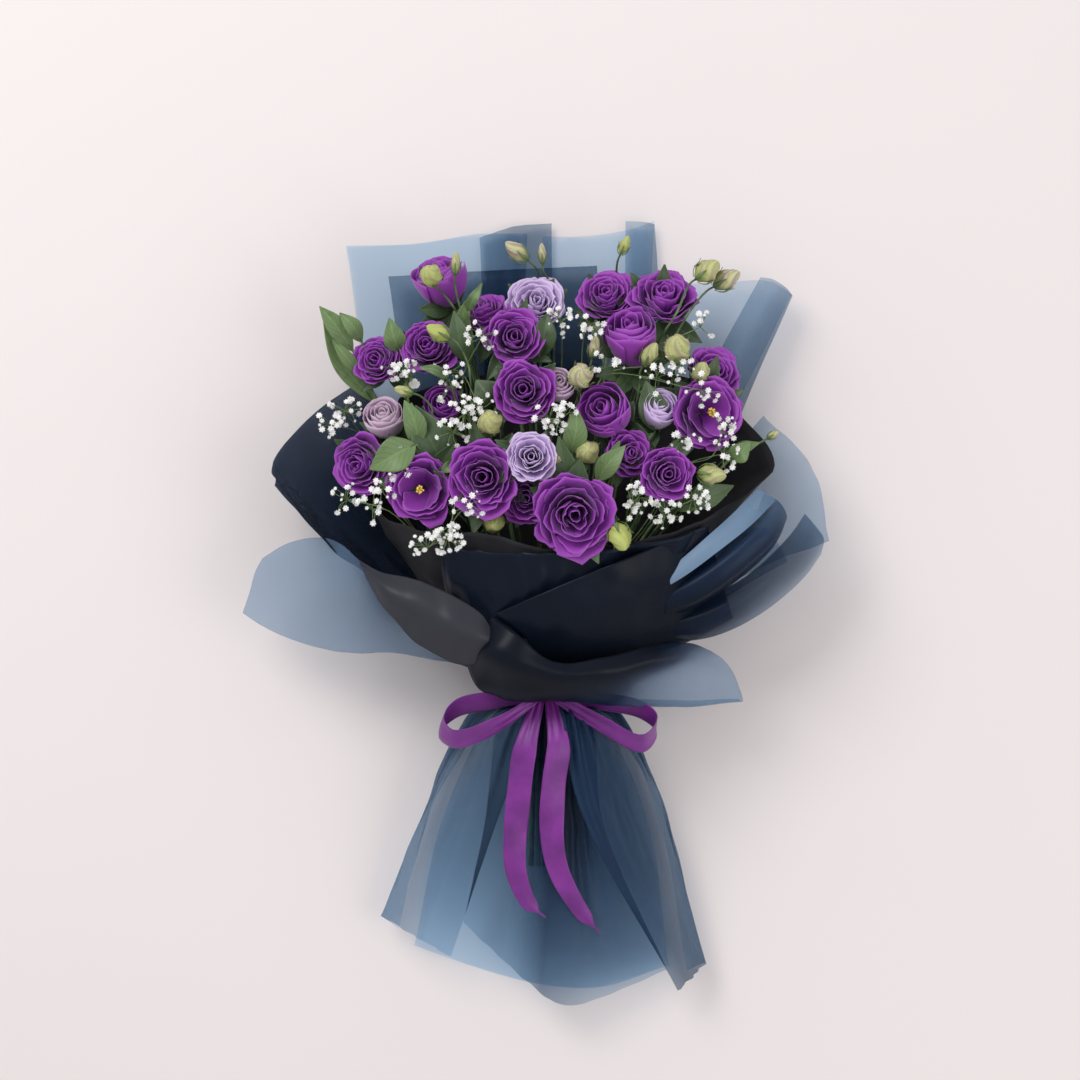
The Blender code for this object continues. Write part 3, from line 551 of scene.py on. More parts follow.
PATCHES = {
    "left_wing_film_sheet": Patch(
        (
            (
                (-269, 76, 60, 0.27), (-245, 61, 66, 0.27), (-211, 48, 74, 0.29), (-171, 41, 84, 0.31),
                (-127, 41, 92, 0.41), (-91, 34, 98, 0.50), (-67, 28, 102, 0.80), (-30, 16, 96, 0.90), (-14, 13, 83, 0.90),
            ),
            (
                (-262, 95, 66, 0.27), (-235, 85, 76, 0.29), (-203, 75, 88, 0.33), (-168, 68, 100, 0.37),
                (-135, 62, 110, 0.45), (-105, 50, 114, 0.50), (-75, 42, 112, 0.80), (-40, 28, 106, 0.90),
                (-12, 17, 84, 0.90),
            ),
            (
                (-257, 113, 72, 0.27), (-227, 112, 84, 0.31), (-196, 105, 100, 0.35), (-166, 98, 114, 0.39),
                (-144, 86, 124, 0.55), (-120, 70, 128, 0.60), (-90, 56, 126, 0.80), (-50, 40, 118, 0.90),
                (-9, 19, 84, 0.90),
            ),
            (
                (-250, 125, 76, 0.27), (-227, 138, 84, 0.29), (-197, 143, 96, 0.33), (-177, 136, 108, 0.39),
                (-161, 122, 120, 0.50), (-130, 108, 134, 0.80), (-90, 92, 142, 0.90), (-50, 70, 138, 0.90),
                (-6, 20, 85, 0.90),
            ),
        ),
        "left_wing_film", held="gathered", slack=1.6, lit=(0.85, 0.0),
    ),
    # This flap shows the film's glossy inside face, with its painted reflection.
    "left_wing_flap": Patch(
        (
            (
                (-164, 124, 122, 0.8), (-144, 114, 138, 0.9), (-117, 108, 148, 0.95), (-91, 98, 154, 0.95),
                (-71, 88, 157, 0.95), (-54, 76, 156, 0.95), (-46, 64, 152, 0.95),
            ),
            (
                (-160, 117, 130, 0.8), (-144, 102, 146, 0.9), (-122, 88, 156, 0.95), (-98, 76, 161, 0.95),
                (-78, 64, 164, 0.95), (-58, 56, 163, 0.95), (-48, 54, 158, 0.95),
            ),
            (
                (-157, 108, 126, 0.8), (-144, 89, 137, 0.9), (-127, 66, 143, 0.92), (-114, 53, 144, 0.95),
                (-91, 39, 142, 0.95), (-69, 31, 140, 0.95), (-54, 34, 142, 0.95),
            ),
        ),
        pale=0.8, slack=1.8,
    ),
    "right_wing_film_sheet": Patch(
        (
            (
                (-14, 14, 84, 0.95), (-9, 16, 86, 0.95), (0, 18, 88, 0.95), (9, 16, 86, 0.90), (70, 2, 96, 0.45),
                (126, -1, 84, 0.20), (171, 0, 76, 0.20),
            ),
            (
                (-52, 7, 118, 0.95), (-26, 0, 128, 0.95), (8, 0, 126, 0.95), (47, -3, 118, 0.70), (90, -6, 104, 0.41),
                (130, -6, 92, 0.29), (175, -2, 80, 0.27),
            ),
            (
                (-64, 20, 128, 0.95), (-32, 20, 150, 0.95), (10, 13, 148, 0.95), (54, 10, 138, 0.85),
                (90, 18, 124, 0.50), (128, 26, 108, 0.29), (167, 22, 90, 0.27),
            ),
            (
                (-68, 42, 138, 0.95), (-42, 42, 166, 0.95), (8, 26, 160, 0.95), (58, 26, 150, 0.95),
                (94, 36, 134, 0.95), (134, 40, 116, 0.50), (156, 37, 100, 0.29),
            ),
            (
                (-47, 76, 152, 0.95), (-24, 60, 166, 0.95), (7, 36, 158, 0.95), (56, 40, 146, 0.95),
                (89, 48, 128, 0.95), (128, 50, 112, 0.70), (146, 44, 102, 0.45),
            ),
        ),
        "right_wing_film", held="gathered", slack=1.2, lit=(0.85, 0.0),
    ),
    "front_crossing_film": Patch(
        (
            (
                (-44, 76, 158, 0.93), (0, 96, 174, 0.93), (50, 117, 177, 0.93), (100, 137, 166, 0.93),
                (141, 153, 150, 0.9),
            ),
            (
                (-20, 58, 152, 0.93), (24, 72, 162, 0.93), (68, 88, 162, 0.93), (110, 104, 148, 0.92),
                (150, 120, 128, 0.9),
            ),
            (
                (-4, 30, 122, 0.95), (38, 34, 128, 0.95), (82, 40, 116, 0.95), (124, 50, 104, 0.93),
                (166, 72, 90, 0.85),
            ),
        ),
        slack=1.4,
    ),
    # This turned edge takes painted light all over.
    "right_turned_edge": Patch(
        (
            (
                (88, 96, 144, 0.8), (110, 117, 150, 0.8), (135, 139, 152, 0.75), (161, 162, 144, 0.6),
                (186, 186, 130, 0.3),
            ),
            (
                (93, 96, 147, 0.8), (117, 114, 153, 0.8), (143, 135, 155, 0.75), (169, 157, 148, 0.6),
                (194, 181, 134, 0.3),
            ),
            (
                (97, 95, 145, 0.8), (123, 111, 151, 0.8), (150, 131, 153, 0.75), (177, 152, 146, 0.6),
                (202, 176, 132, 0.3),
            ),
        ),
        slack=0.1, lit=(1.0, 1.0),
    ),
    "right_dark_roll": Patch(
        (
            (
                (96, 94, 132, 0.75), (128, 114, 138, 0.7), (158, 138, 136, 0.6), (184, 164, 128, 0.5),
                (191, 182, 122, 0.4),
            ),
            (
                (103, 90, 140, 0.8), (136, 108, 148, 0.75), (168, 132, 148, 0.68), (196, 158, 140, 0.55),
                (204, 174, 134, 0.4),
            ),
            (
                (104, 78, 136, 0.9), (140, 94, 144, 0.88), (173, 118, 144, 0.8), (203, 146, 136, 0.7),
                (211, 162, 128, 0.5),
            ),
            (
                (98, 70, 122, 0.93), (134, 84, 130, 0.9), (168, 106, 128, 0.85), (199, 134, 122, 0.75),
                (207, 150, 114, 0.6),
            ),
        ),
        slack=0.15,
    ),
    "right_lower_roll": Patch(
        (
            (
                (104, 74, 112, 0.9), (142, 90, 118, 0.75), (180, 112, 116, 0.6), (216, 146, 104, 0.45),
                (229, 164, 96, 0.35),
            ),
            (
                (109, 66, 120, 0.93), (150, 78, 126, 0.8), (190, 102, 122, 0.65), (226, 134, 108, 0.5),
                (239, 152, 98, 0.35),
            ),
            (
                (109, 56, 114, 0.9), (152, 66, 118, 0.75), (194, 90, 112, 0.5), (232, 122, 98, 0.4),
                (246, 142, 90, 0.3),
            ),
            (
                (104, 50, 102, 0.9), (148, 56, 104, 0.6), (190, 76, 100, 0.3), (229, 108, 88, 0.2),
                (244, 128, 82, 0.15),
            ),
        ),
        slack=0.15,
    ),
    "right_back_roll": Patch(
        (
            ((194, 377, 26, 0.16), (176, 345, 30, 0.18), (158, 312, 32, 0.2), (140, 268, 34, 0.3)),
            ((204, 374, 42, 0.18), (186, 340, 46, 0.22), (166, 304, 48, 0.24), (148, 260, 48, 0.3)),
            ((215, 367, 44, 0.26), (196, 330, 48, 0.34), (178, 294, 50, 0.36), (160, 250, 50, 0.4)),
            ((222, 360, 34, 0.30), (205, 322, 40, 0.36), (188, 284, 42, 0.40), (172, 244, 42, 0.4)),
        ),
        slack=0.2,
    ),
    "back_edge_roll": Patch(
        (
            ((73, 429, 7, 0.12), (73, 400, 7, 0.14), (72, 360, 7, 0.2), (70, 300, 7, 0.3)),
            ((84, 428, 15, 0.10), (84, 400, 16, 0.14), (84, 360, 16, 0.2), (82, 300, 15, 0.3)),
            ((93, 427, 15, 0.20), (94, 400, 16, 0.24), (95, 360, 16, 0.3), (94, 300, 15, 0.3)),
            ((99, 426, 9, 0.24), (101, 400, 9, 0.28), (103, 360, 9, 0.3), (104, 300, 9, 0.3)),
        ),
        slack=0.2,
    ),
    # A black sheet behind the stems: the liner carried up behind the flowers, and painted shade in the gaps between
    # them.
    "liner_back_sheet": Patch(
        (
            ((-60, 96, 40, 1.0), (-30, 100, 32, 1.0), (10, 102, 30, 1.0), (50, 100, 34, 1.0), (84, 96, 42, 1.0)),
            ((-110, 150, 44, 1.0), (-60, 160, 34, 1.0), (10, 165, 30, 1.0), (80, 162, 34, 1.0), (140, 160, 44, 1.0)),
            ((-150, 220, 50, 1.0), (-80, 232, 38, 1.0), (10, 236, 32, 1.0), (100, 240, 38, 1.0), (168, 240, 50, 1.0)),
            ((-130, 268, 48, 1.0), (-72, 286, 40, 1.0), (10, 290, 34, 1.0), (96, 292, 38, 1.0), (166, 276, 48, 1.0)),
        ),
        slot="liner_black", held="gathered", slack=3.0,
    ),
}

# Leaves that show between the flowers: base, tip, width and whether they are dressed in painted shade.
SHOWN_LEAVES = (
    ((-170, 308, 78), (-199, 347, 90), 18, False), ((-162, 316, 84), (-181, 341, 94), 15, False),
    ((-160, 284, 74), (-188, 318, 84), 12, False), ((-127, 306, 92), (-137, 336, 104), 20, False),
    ((-84, 200, 132), (-113, 258, 140), 38, True), ((-110, 220, 138), (-122, 262, 150), 20, False),
    ((-112, 224, 150), (-152, 202, 150), 30, False), ((-76, 208, 150), (-92, 199, 156), 10, False),
    ((-66, 296, 100), (-80, 342, 112), 22, True), ((-68, 342, 106), (-55, 366, 116), 10, False),
    ((-84, 281, 134), (-110, 291, 140), 9, False), ((-42, 258, 130), (-60, 280, 138), 30, True),
    ((20, 212, 158), (27, 255, 172), 21, False), ((44, 192, 168), (69, 222, 184), 19, False),
    ((38, 206, 160), (10, 193, 168), 16, True), ((160, 211, 140), (178, 226, 146), 18, False),
    ((122, 175, 140), (164, 188, 140), 22, True), ((-4, 300, 104), (2, 340, 112), 22, True),
    ((60, 300, 100), (44, 334, 108), 20, True), ((96, 236, 118), (88, 280, 126), 26, True),
)


def in_frame(place: Vector) -> Vector:
    """A place in the tables' millimetres, in the frame's metres."""
    return (Vector(place) + TIE_FROM_ORIGIN) * MM


def on_curve(points: Sequence[Vector], where: float) -> Vector:
    """A point on the smooth curve through points.

    Args:
        points: the places that the curve passes through.
        where: from 0 to the number of the curve's spans.

    Returns:
        The point.
    """
    last = len(points) - 1
    span = min(int(where), last - 1)
    t = where - span
    p1, p2 = points[span], points[span + 1]
    before = points[span - 1] if span else p1 * 2 - p2
    after = points[span + 2] if span + 2 <= last else p2 * 2 - p1
    d0, d1, d2 = (max(math.sqrt((b - a).length), 1e-6) for a, b in ((before, p1), (p1, p2), (p2, after)))
    m1 = ((p1 - before) / d0 - (p2 - before) / (d0 + d1) + (p2 - p1) / d1) * d1
    m2 = ((p2 - p1) / d1 - (after - p1) / (d1 + d2) + (after - p2) / d2) * d1
    return (
        p1 * (2 * t**3 - 3 * t**2 + 1) + m1 * (t**3 - 2 * t**2 + t)
        + p2 * (3 * t**2 - 2 * t**3) + m2 * (t**3 - t**2)
    )


def smooth_line(points: Sequence[Vector], steps: int) -> list[Vector]:
    """The curve through points, with that many steps in each span."""
    spans = len(points) - 1
    return [on_curve(points, i / steps) for i in range(spans * steps + 1)]


def only(obj: bpy.types.Object) -> None:
    """Selects one object and makes it active."""
    bpy.ops.object.select_all(action="DESELECT")
    obj.select_set(True)
    bpy.context.view_layer.objects.active = obj


def applied(obj: bpy.types.Object) -> bpy.types.Object:
    """The object with all its modifiers applied."""
    only(obj)
    for modifier in list(obj.modifiers):
        bpy.ops.object.modifier_apply(modifier=modifier.name)
    return obj


def joined(name: str, parts: Sequence[bpy.types.Object]) -> bpy.types.Object:
    """One object, by that name, made of several."""
    only(parts[0])
    for part in parts:
        part.select_set(True)
    if len(parts) > 1:
        bpy.ops.object.join()
    made = bpy.context.view_layer.objects.active
    made.name = name
    made.data.name = name
    return made


def shaped_grid(name: str, columns: int, rows: int, shape: Shape) -> bpy.types.Object:
    """A grid whose vertices are moved to a shape.

    Args:
        name: the object's name.
        columns: faces across, along u.
        rows: faces along v.
        shape: gives the places, in metres, of u from -1 to 1 and v from 0 to 1.

    Returns:
        The object, at the origin, with u and v in its UV map.
    """
    bpy.ops.object.select_all(action="DESELECT")
    bpy.ops.mesh.primitive_grid_add(x_subdivisions=columns, y_subdivisions=rows, size=2.0, location=(0, 0, 0))
    obj = bpy.context.active_object
    obj.name = name
    flat = np.empty(len(obj.data.vertices) * 3)
    obj.data.vertices.foreach_get("co", flat)
    flat = flat.reshape(-1, 3)
    places = shape(flat[:, 0], (flat[:, 1] + 1) / 2)
    obj.data.vertices.foreach_set("co", np.asarray(places, dtype=float).reshape(-1))
    obj.data.update()
    return obj


def turned_to_light(cover: np.ndarray, shares: tuple) -> np.ndarray:
    """How much of the painted lit tone a film takes at each vertex, from its cover there."""
    return np.interp(cover, (0.25, 0.65), shares)


def tint(obj: bpy.types.Object, value: float) -> None:
    """Gives every vertex of a piece its tint, which the petal and leaf materials read."""
    layer = obj.data.attributes.new("tint", "FLOAT", "POINT")
    layer.data.foreach_set("value", np.full(len(obj.data.vertices), value))


def thickened(obj: bpy.types.Object, thickness: float, levels: int = 0) -> bpy.types.Object:
    """The sheet made smooth and given its thickness in millimetres."""
    if levels:
        smooth = obj.modifiers.new("smooth", "SUBSURF")
        smooth.levels = smooth.render_levels = levels
    skin = obj.modifiers.new("thickness", "SOLIDIFY")
    skin.thickness = thickness * MM
    skin.offset = 0.0
    return applied(obj)


def smooth_shaded(obj: bpy.types.Object) -> bpy.types.Object:
    """The object, shaded smooth."""
    only(obj)
    bpy.ops.object.shade_smooth()
    return obj


def tube(name: str, line: Sequence[Vector], radii: tuple[float, float], sides: int) -> bpy.types.Object:
    """A tube along a line.

    Args:
        name: the object's name.
        line: its places, in the tables' millimetres.
        radii: its radius at the start and at the end, in millimetres.
        sides: how many sides it has, an even number.

    Returns:
        The tube as a mesh.
    """
    curve = bpy.data.curves.new(name, "CURVE")
    curve.dimensions = "3D"
    curve.bevel_depth = MM
    curve.bevel_resolution = max(0, sides // 2 - 2)
    curve.use_fill_caps = True
    spline = curve.splines.new("POLY")
    spline.points.add(len(line) - 1)
    for i, (point, place) in enumerate(zip(spline.points, line)):
        share = i / (len(line) - 1)
        point.co = (*in_frame(place), 1.0)
        point.radius = radii[0] + (radii[1] - radii[0]) * share
    obj = bpy.data.objects.new(name, curve)
    bpy.context.scene.collection.objects.link(obj)
    only(obj)
    bpy.ops.object.convert(target="MESH")
    return bpy.context.view_layer.objects.active


def placed(points: np.ndarray, foot: Vector, axis: Vector) -> np.ndarray:
    """Points in millimetres round an upright axis, turned to stand at foot along axis, in metres."""
    turn = np.array(axis.to_track_quat("Z", "Y").to_matrix())
    return (points @ turn.T + np.array(foot + TIE_FROM_ORIGIN)) * MM


class Nodes:
    """Adds nodes to one tree, left to right."""

    def __init__(self, tree: bpy.types.NodeTree) -> None:
        """Keeps the tree."""
        self.tree = tree

    def add(self, kind: str, **inputs: object) -> bpy.types.Node:
        """A node of a kind, with its properties, values and links.

        Args:
            kind: the node's type name.
            **inputs: a property of the node by its own name, or a socket as in_N or in_Name, with a value or an
                output to link.

        Returns:
            The node.
        """
        node = self.tree.nodes.new(kind)
        for key, value in inputs.items():
            if not key.startswith("in_"):
                setattr(node, key, value)
        for key, value in inputs.items():
            if key.startswith("in_"):
                socket = node.inputs[int(key[3:]) if key[3:].isdigit() else key[3:].replace("_", " ")]
                if isinstance(value, bpy.types.NodeSocket):
                    self.tree.links.new(value, socket)
                else:
                    socket.default_value = value
        return node

    def ramp(self, source: bpy.types.NodeSocket, *stops: tuple[float, tuple]) -> bpy.types.NodeSocket:
        """A colour ramp over a value, with its stops."""
        node = self.add("ShaderNodeValToRGB", in_Fac=source)
        elements = node.color_ramp.elements
        while len(elements) < len(stops):
            elements.new(0.5)
        for element, (place, colour) in zip(elements, stops):
            element.position = place
            element.color = (*colour, 1.0) if len(colour) == 3 else colour
        return node.outputs["Color"]

    def mix(self, factor: object, a: object, b: object, blend: str = "MIX") -> bpy.types.NodeSocket:
        """A mix of two colours."""
        node = self.add("ShaderNodeMix", data_type="RGBA", blend_type=blend, in_0=factor)
        for socket, value in ((node.inputs[6], a), (node.inputs[7], b)):
            if isinstance(value, bpy.types.NodeSocket):
                self.tree.links.new(value, socket)
            else:
                socket.default_value = (*value, 1.0)
        return node.outputs[2]

    def math(self, operation: str, a: object, b: object = 0.0) -> bpy.types.NodeSocket:
        """A sum on two values."""
        return self.add("ShaderNodeMath", operation=operation, in_0=a, in_1=b).outputs[0]


def new_material(name: str) -> tuple[bpy.types.Material, Nodes, bpy.types.Node]:
    """A material, its nodes and its Principled shader."""
    made = bpy.data.materials.new(name)
    made.use_nodes = True
    return made, Nodes(made.node_tree), made.node_tree.nodes["Principled BSDF"]


def new_group(name: str, inputs: Sequence[str], outputs: dict[str, str]) -> tuple[Nodes, bpy.types.Node, bpy.types.Node]:
    """A shader node group's tree with its sockets.

    Args:
        name: the group's name.
        inputs: the names of its inputs, each a value.
        outputs: the names of its outputs and their socket types.

    Returns:
        The tree's nodes, its input end and its output end.
    """
    tree = bpy.data.node_groups.new(name, "ShaderNodeTree")
    for label in inputs:
        tree.interface.new_socket(label, in_out="INPUT", socket_type="NodeSocketFloat")
    for label, kind in outputs.items():
        tree.interface.new_socket(label, in_out="OUTPUT", socket_type=kind)
    nodes = Nodes(tree)
    return nodes, nodes.add("NodeGroupInput"), nodes.add("NodeGroupOutput")


class Effect(Enum):
    """The effects that several finishes share, each a node group made once."""

    FINE_GRAIN = "fine_grain"
    PETAL_VEINS = "petal_veins"
    LEAF_RIBS = "leaf_ribs"
    WOVEN_THREADS = "woven_threads"

    def tree(self) -> bpy.types.NodeTree:
        """The effect's node group."""
        if self.value not in bpy.data.node_groups:
            {
                Effect.FINE_GRAIN: fine_grain, Effect.PETAL_VEINS: petal_veins, Effect.LEAF_RIBS: leaf_ribs,
                Effect.WOVEN_THREADS: woven_threads,
            }[self](self.value)
        return bpy.data.node_groups[self.value]


def fine_grain(name: str) -> None:
    """A fine even bump over the surface."""
    nodes, start, end = new_group(name, ("Scale", "Strength", "Distance"), {"Normal": "NodeSocketVector"})
    where = nodes.add("ShaderNodeTexCoord").outputs["Object"]
    grain = nodes.add("ShaderNodeTexNoise", in_Vector=where, in_Scale=start.outputs["Scale"], in_Detail=3.0)
    bump = nodes.add(
        "ShaderNodeBump", in_Strength=start.outputs["Strength"], in_Distance=start.outputs["Distance"],
        in_Height=grain.outputs["Fac"],
    )
    nodes.tree.links.new(bump.outputs[0], end.inputs["Normal"])


def petal_veins(name: str) -> None:
    """Fine veins that run from a petal's foot to its rim, and slow clouds of tone."""
    nodes, _, end = new_group(name, (), {"Veins": "NodeSocketFloat", "Cloud": "NodeSocketFloat"})
    coord = nodes.add("ShaderNodeTexCoord")
    stretched = nodes.add("ShaderNodeMapping", in_Vector=coord.outputs["UV"], in_Scale=(34.0, 2.2, 1.0))
    veins = nodes.add("ShaderNodeTexNoise", in_Vector=stretched.outputs[0], in_Scale=1.0, in_Detail=4.0)
    cloud = nodes.add("ShaderNodeTexNoise", in_Vector=coord.outputs["Object"], in_Scale=90.0, in_Detail=3.0)
    nodes.tree.links.new(veins.outputs["Fac"], end.inputs["Veins"])
    nodes.tree.links.new(cloud.outputs["Fac"], end.inputs["Cloud"])


def leaf_ribs(name: str) -> None:
    """A leaf's middle rib and the slanting side ribs that leave it."""
    nodes, _, end = new_group(name, (), {"Rib": "NodeSocketFloat", "Side ribs": "NodeSocketFloat"})
    uv = nodes.add("ShaderNodeSeparateXYZ", in_0=nodes.add("ShaderNodeTexCoord").outputs["UV"])
    off = nodes.math("ABSOLUTE", nodes.math("SUBTRACT", uv.outputs["X"], 0.5))
    slant = nodes.math("SUBTRACT", nodes.math("MULTIPLY", uv.outputs["Y"], 46.0), nodes.math("MULTIPLY", off, 30.0))
    side = nodes.ramp(nodes.math("SINE", slant), (0.7, (0, 0, 0)), (1.0, (0.3, 0.3, 0.3)))
    rib = nodes.ramp(off, (0.0, (0.6, 0.6, 0.6)), (0.05, (0, 0, 0)))
    nodes.tree.links.new(rib, end.inputs["Rib"])
    nodes.tree.links.new(side, end.inputs["Side ribs"])


def woven_threads(name: str) -> None:
    """Threads that cross both ways, and the tone that they give over slow changes."""
    nodes, start, end = new_group(name, ("Threads",), {"Weave": "NodeSocketFloat", "Tone": "NodeSocketFloat"})
    where = nodes.add("ShaderNodeTexCoord").outputs["Object"]
    ways = [
        nodes.add("ShaderNodeTexWave", in_Vector=where, in_Scale=start.outputs["Threads"], bands_direction=way)
        for way in ("X", "Y")
    ]
    weave = nodes.math("MULTIPLY", ways[0].outputs["Fac"], ways[1].outputs["Fac"])
    slow = nodes.add("ShaderNodeTexNoise", in_Vector=where, in_Scale=40.0, in_Detail=4.0)
    tone = nodes.math("ADD", nodes.math("MULTIPLY", weave, 0.3), nodes.math("MULTIPLY", slow.outputs["Fac"], 0.8))
    nodes.tree.links.new(weave, end.inputs["Weave"])
    nodes.tree.links.new(tone, end.inputs["Tone"])


@dataclass(frozen=True)
class PetalFinish:
    """A petal's colours: its foot, darkened with painted shade deep in the flower, its blade, its pale rim, and how
    strong its veins are.
    """

    slot: str
    foot: Triple
    blade: Triple
    rim: Triple
    veins: float

    def material(self) -> bpy.types.Material:
        """Velvety petals with fine veins that fan out to a paler rim, and painted shade at the foot."""
        made, nodes, shader = new_material(self.slot)
        uv = nodes.add("ShaderNodeTexCoord").outputs["UV"]
        along = nodes.add("ShaderNodeSeparateXYZ", in_0=uv).outputs["Y"]
        pattern = nodes.add("ShaderNodeGroup", node_tree=Effect.PETAL_VEINS.tree())
        shade = nodes.add("ShaderNodeAttribute", attribute_name="tint").outputs["Fac"]
        # The foot colour is painted shade, where the petals crowd deep in the flower.
        base = nodes.ramp(along, (0.0, self.foot), (0.55, self.blade), (0.93, self.blade), (1.0, self.rim))
        faint = nodes.math("MULTIPLY", pattern.outputs["Veins"], self.veins)
        veined = nodes.mix(faint, base, self.foot)
        clouds = nodes.math("ADD", nodes.math("MULTIPLY", pattern.outputs["Cloud"], 0.5), 0.5)
        light = nodes.math("MULTIPLY", nodes.math("ADD", clouds, shade), 0.35)
        nodes.tree.links.new(nodes.mix(light, veined, self.rim), shader.inputs["Base Color"])
        bump = nodes.add("ShaderNodeBump", in_Strength=0.25, in_Distance=0.0004, in_Height=pattern.outputs["Veins"])
        nodes.tree.links.new(bump.outputs[0], shader.inputs["Normal"])
        shader.inputs["Roughness"].default_value = 0.6
        shader.inputs["Sheen Weight"].default_value = 0.25
        shader.inputs["Sheen Roughness"].default_value = 0.4
        return made


@dataclass(frozen=True)
class GreenFinish:
    """A leaf, stem or bud: its two tones and its roughness."""

    slot: str
    dark: Triple
    light: Triple
    roughness: float = 0.5

    def material(self) -> bpy.types.Material:
        """Waxy green with a paler rib, mottled tones and a fine bump."""
        made, nodes, shader = new_material(self.slot)
        where = nodes.add("ShaderNodeTexCoord").outputs["Object"]
        mottle = nodes.add("ShaderNodeTexNoise", in_Vector=where, in_Scale=120.0, in_Detail=5.0)
        shade = nodes.add("ShaderNodeAttribute", attribute_name="tint").outputs["Fac"]
        tone = nodes.math("ADD", mottle.outputs["Fac"], nodes.math("MULTIPLY", shade, 0.6))
        colour = nodes.ramp(tone, (0.32, self.dark), (0.85, self.light))
        ribs = nodes.add("ShaderNodeGroup", node_tree=Effect.LEAF_RIBS.tree())
        pale_rib = tuple(min(1.0, channel * 1.5) for channel in self.light)
        colour = nodes.mix(ribs.outputs["Side ribs"], colour, self.dark)
        colour = nodes.mix(ribs.outputs["Rib"], colour, pale_rib)
        nodes.tree.links.new(colour, shader.inputs["Base Color"])
        grain = nodes.add(
            "ShaderNodeGroup", node_tree=Effect.FINE_GRAIN.tree(), in_Scale=900.0, in_Strength=0.3, in_Distance=0.0003
        )
        nodes.tree.links.new(grain.outputs["Normal"], shader.inputs["Normal"])
        shader.inputs["Roughness"].default_value = self.roughness
        return made


@dataclass(frozen=True)
class BudFinish:
    """A wound bud: lime along each petal's free edge, then cream, then dusky mauve."""

    slot: str = "bud_cream"
    edge: Triple = (0.42, 0.52, 0.07)
    body: Triple = (0.62, 0.60, 0.38)
    dusk: Triple = (0.34, 0.22, 0.24)

    def material(self) -> bpy.types.Material:
        """Stripes that follow the winding, and a green foot."""
        made, nodes, shader = new_material(self.slot)
        fold = nodes.add("ShaderNodeAttribute", attribute_name="fold").outputs["Fac"]
        shade = nodes.add("ShaderNodeAttribute", attribute_name="tint").outputs["Fac"]
        striped = nodes.ramp(fold, (0.0, self.edge), (0.3, self.body), (0.62, self.dusk), (0.95, self.body))
        uv = nodes.add("ShaderNodeTexCoord")
        along = nodes.add("ShaderNodeSeparateXYZ", in_0=uv.outputs["UV"]).outputs["Y"]
        footed = nodes.mix(nodes.ramp(along, (0.0, (1, 1, 1)), (0.45, (0, 0, 0))), striped, (0.14, 0.22, 0.05))
        limed = nodes.mix(nodes.math("MULTIPLY", shade, 0.8), footed, self.edge)
        nodes.tree.links.new(limed, shader.inputs["Base Color"])
        grain = nodes.add(
            "ShaderNodeGroup", node_tree=Effect.FINE_GRAIN.tree(), in_Scale=500.0, in_Strength=0.2, in_Distance=0.0003
        )
        nodes.tree.links.new(grain.outputs["Normal"], shader.inputs["Normal"])
        shader.inputs["Roughness"].default_value = 0.55
        return made


@dataclass(frozen=True)
class FilmFinish:
    """A translucent wrapping film: the tint that it lets through, its own colour in one layer, in a few
    and in many, which also paints the shade in its folds, the painted reflection on its glossy inside face, and the
    painted light on a single layer turned to the lamps."""

    slot: str = "film_blue"
    through: Triple = (0.862, 0.926, 0.975)
    sheer: Triple = (0.040, 0.10, 0.21)
    layered: Triple = (0.016, 0.036, 0.085)
    own: Triple = (0.005, 0.008, 0.016)
    # the grey of the film's glossy inside face, a painted reflection
    inner: Triple = (0.052, 0.053, 0.066)
    # the painted light on a single layer that turns to the lamps
    painted_light: Triple = (0.22, 0.33, 0.48)

    def material(self) -> bpy.types.Material:
        """Satin film that darkens where its layers cross, with painted shade in its folds and soft creases, painted
        light where it turns to the lamps and a painted reflection on its inside face.
        """
        made, nodes, shader = new_material(self.slot)
        where = nodes.add("ShaderNodeTexCoord").outputs["Object"]
        crease = nodes.add("ShaderNodeTexNoise", in_Vector=where, in_Scale=14.0, in_Detail=2.0, in_Distortion=0.5)
        bump = nodes.add("ShaderNodeBump", in_Strength=0.12, in_Distance=0.004, in_Height=crease.outputs["Fac"])
        nodes.tree.links.new(bump.outputs[0], shader.inputs["Normal"])
        # pale: where the film's glossy inside face shows, which takes the painted reflection
        pale = nodes.add("ShaderNodeAttribute", attribute_name="pale").outputs["Fac"]
        # cover: the film's layers, and painted shade in its folds and hollows
        cover = nodes.add("ShaderNodeAttribute", attribute_name="cover").outputs["Fac"]
        layers = nodes.ramp(cover, (0.0, self.sheer), (0.65, self.layered), (0.95, self.own))
        # painted shade in the creases: darker where the crease noise is low
        slow = nodes.ramp(crease.outputs["Fac"], (0.3, (0.7, 0.7, 0.7)), (0.7, (1.0, 1.0, 1.0)))
        tone = nodes.mix(1.0, layers, slow, "MULTIPLY")
        # lit: painted light, mixed in where a layer turns to the lamps
        lit = nodes.add("ShaderNodeAttribute", attribute_name="lit").outputs["Fac"]
        turned = nodes.mix(lit, nodes.mix(pale, tone, self.inner), self.painted_light)
        nodes.tree.links.new(turned, shader.inputs["Base Color"])
        shader.inputs["Roughness"].default_value = 0.36
        shader.inputs["Specular IOR Level"].default_value = 0.14
        clear = nodes.add("ShaderNodeBsdfTransparent", in_Color=(*self.through, 1.0))
        mixed = nodes.add("ShaderNodeMixShader", in_0=cover, in_1=clear.outputs[0], in_2=shader.outputs[0])
        nodes.tree.links.new(mixed.outputs[0], made.node_tree.nodes["Material Output"].inputs["Surface"])
        return made


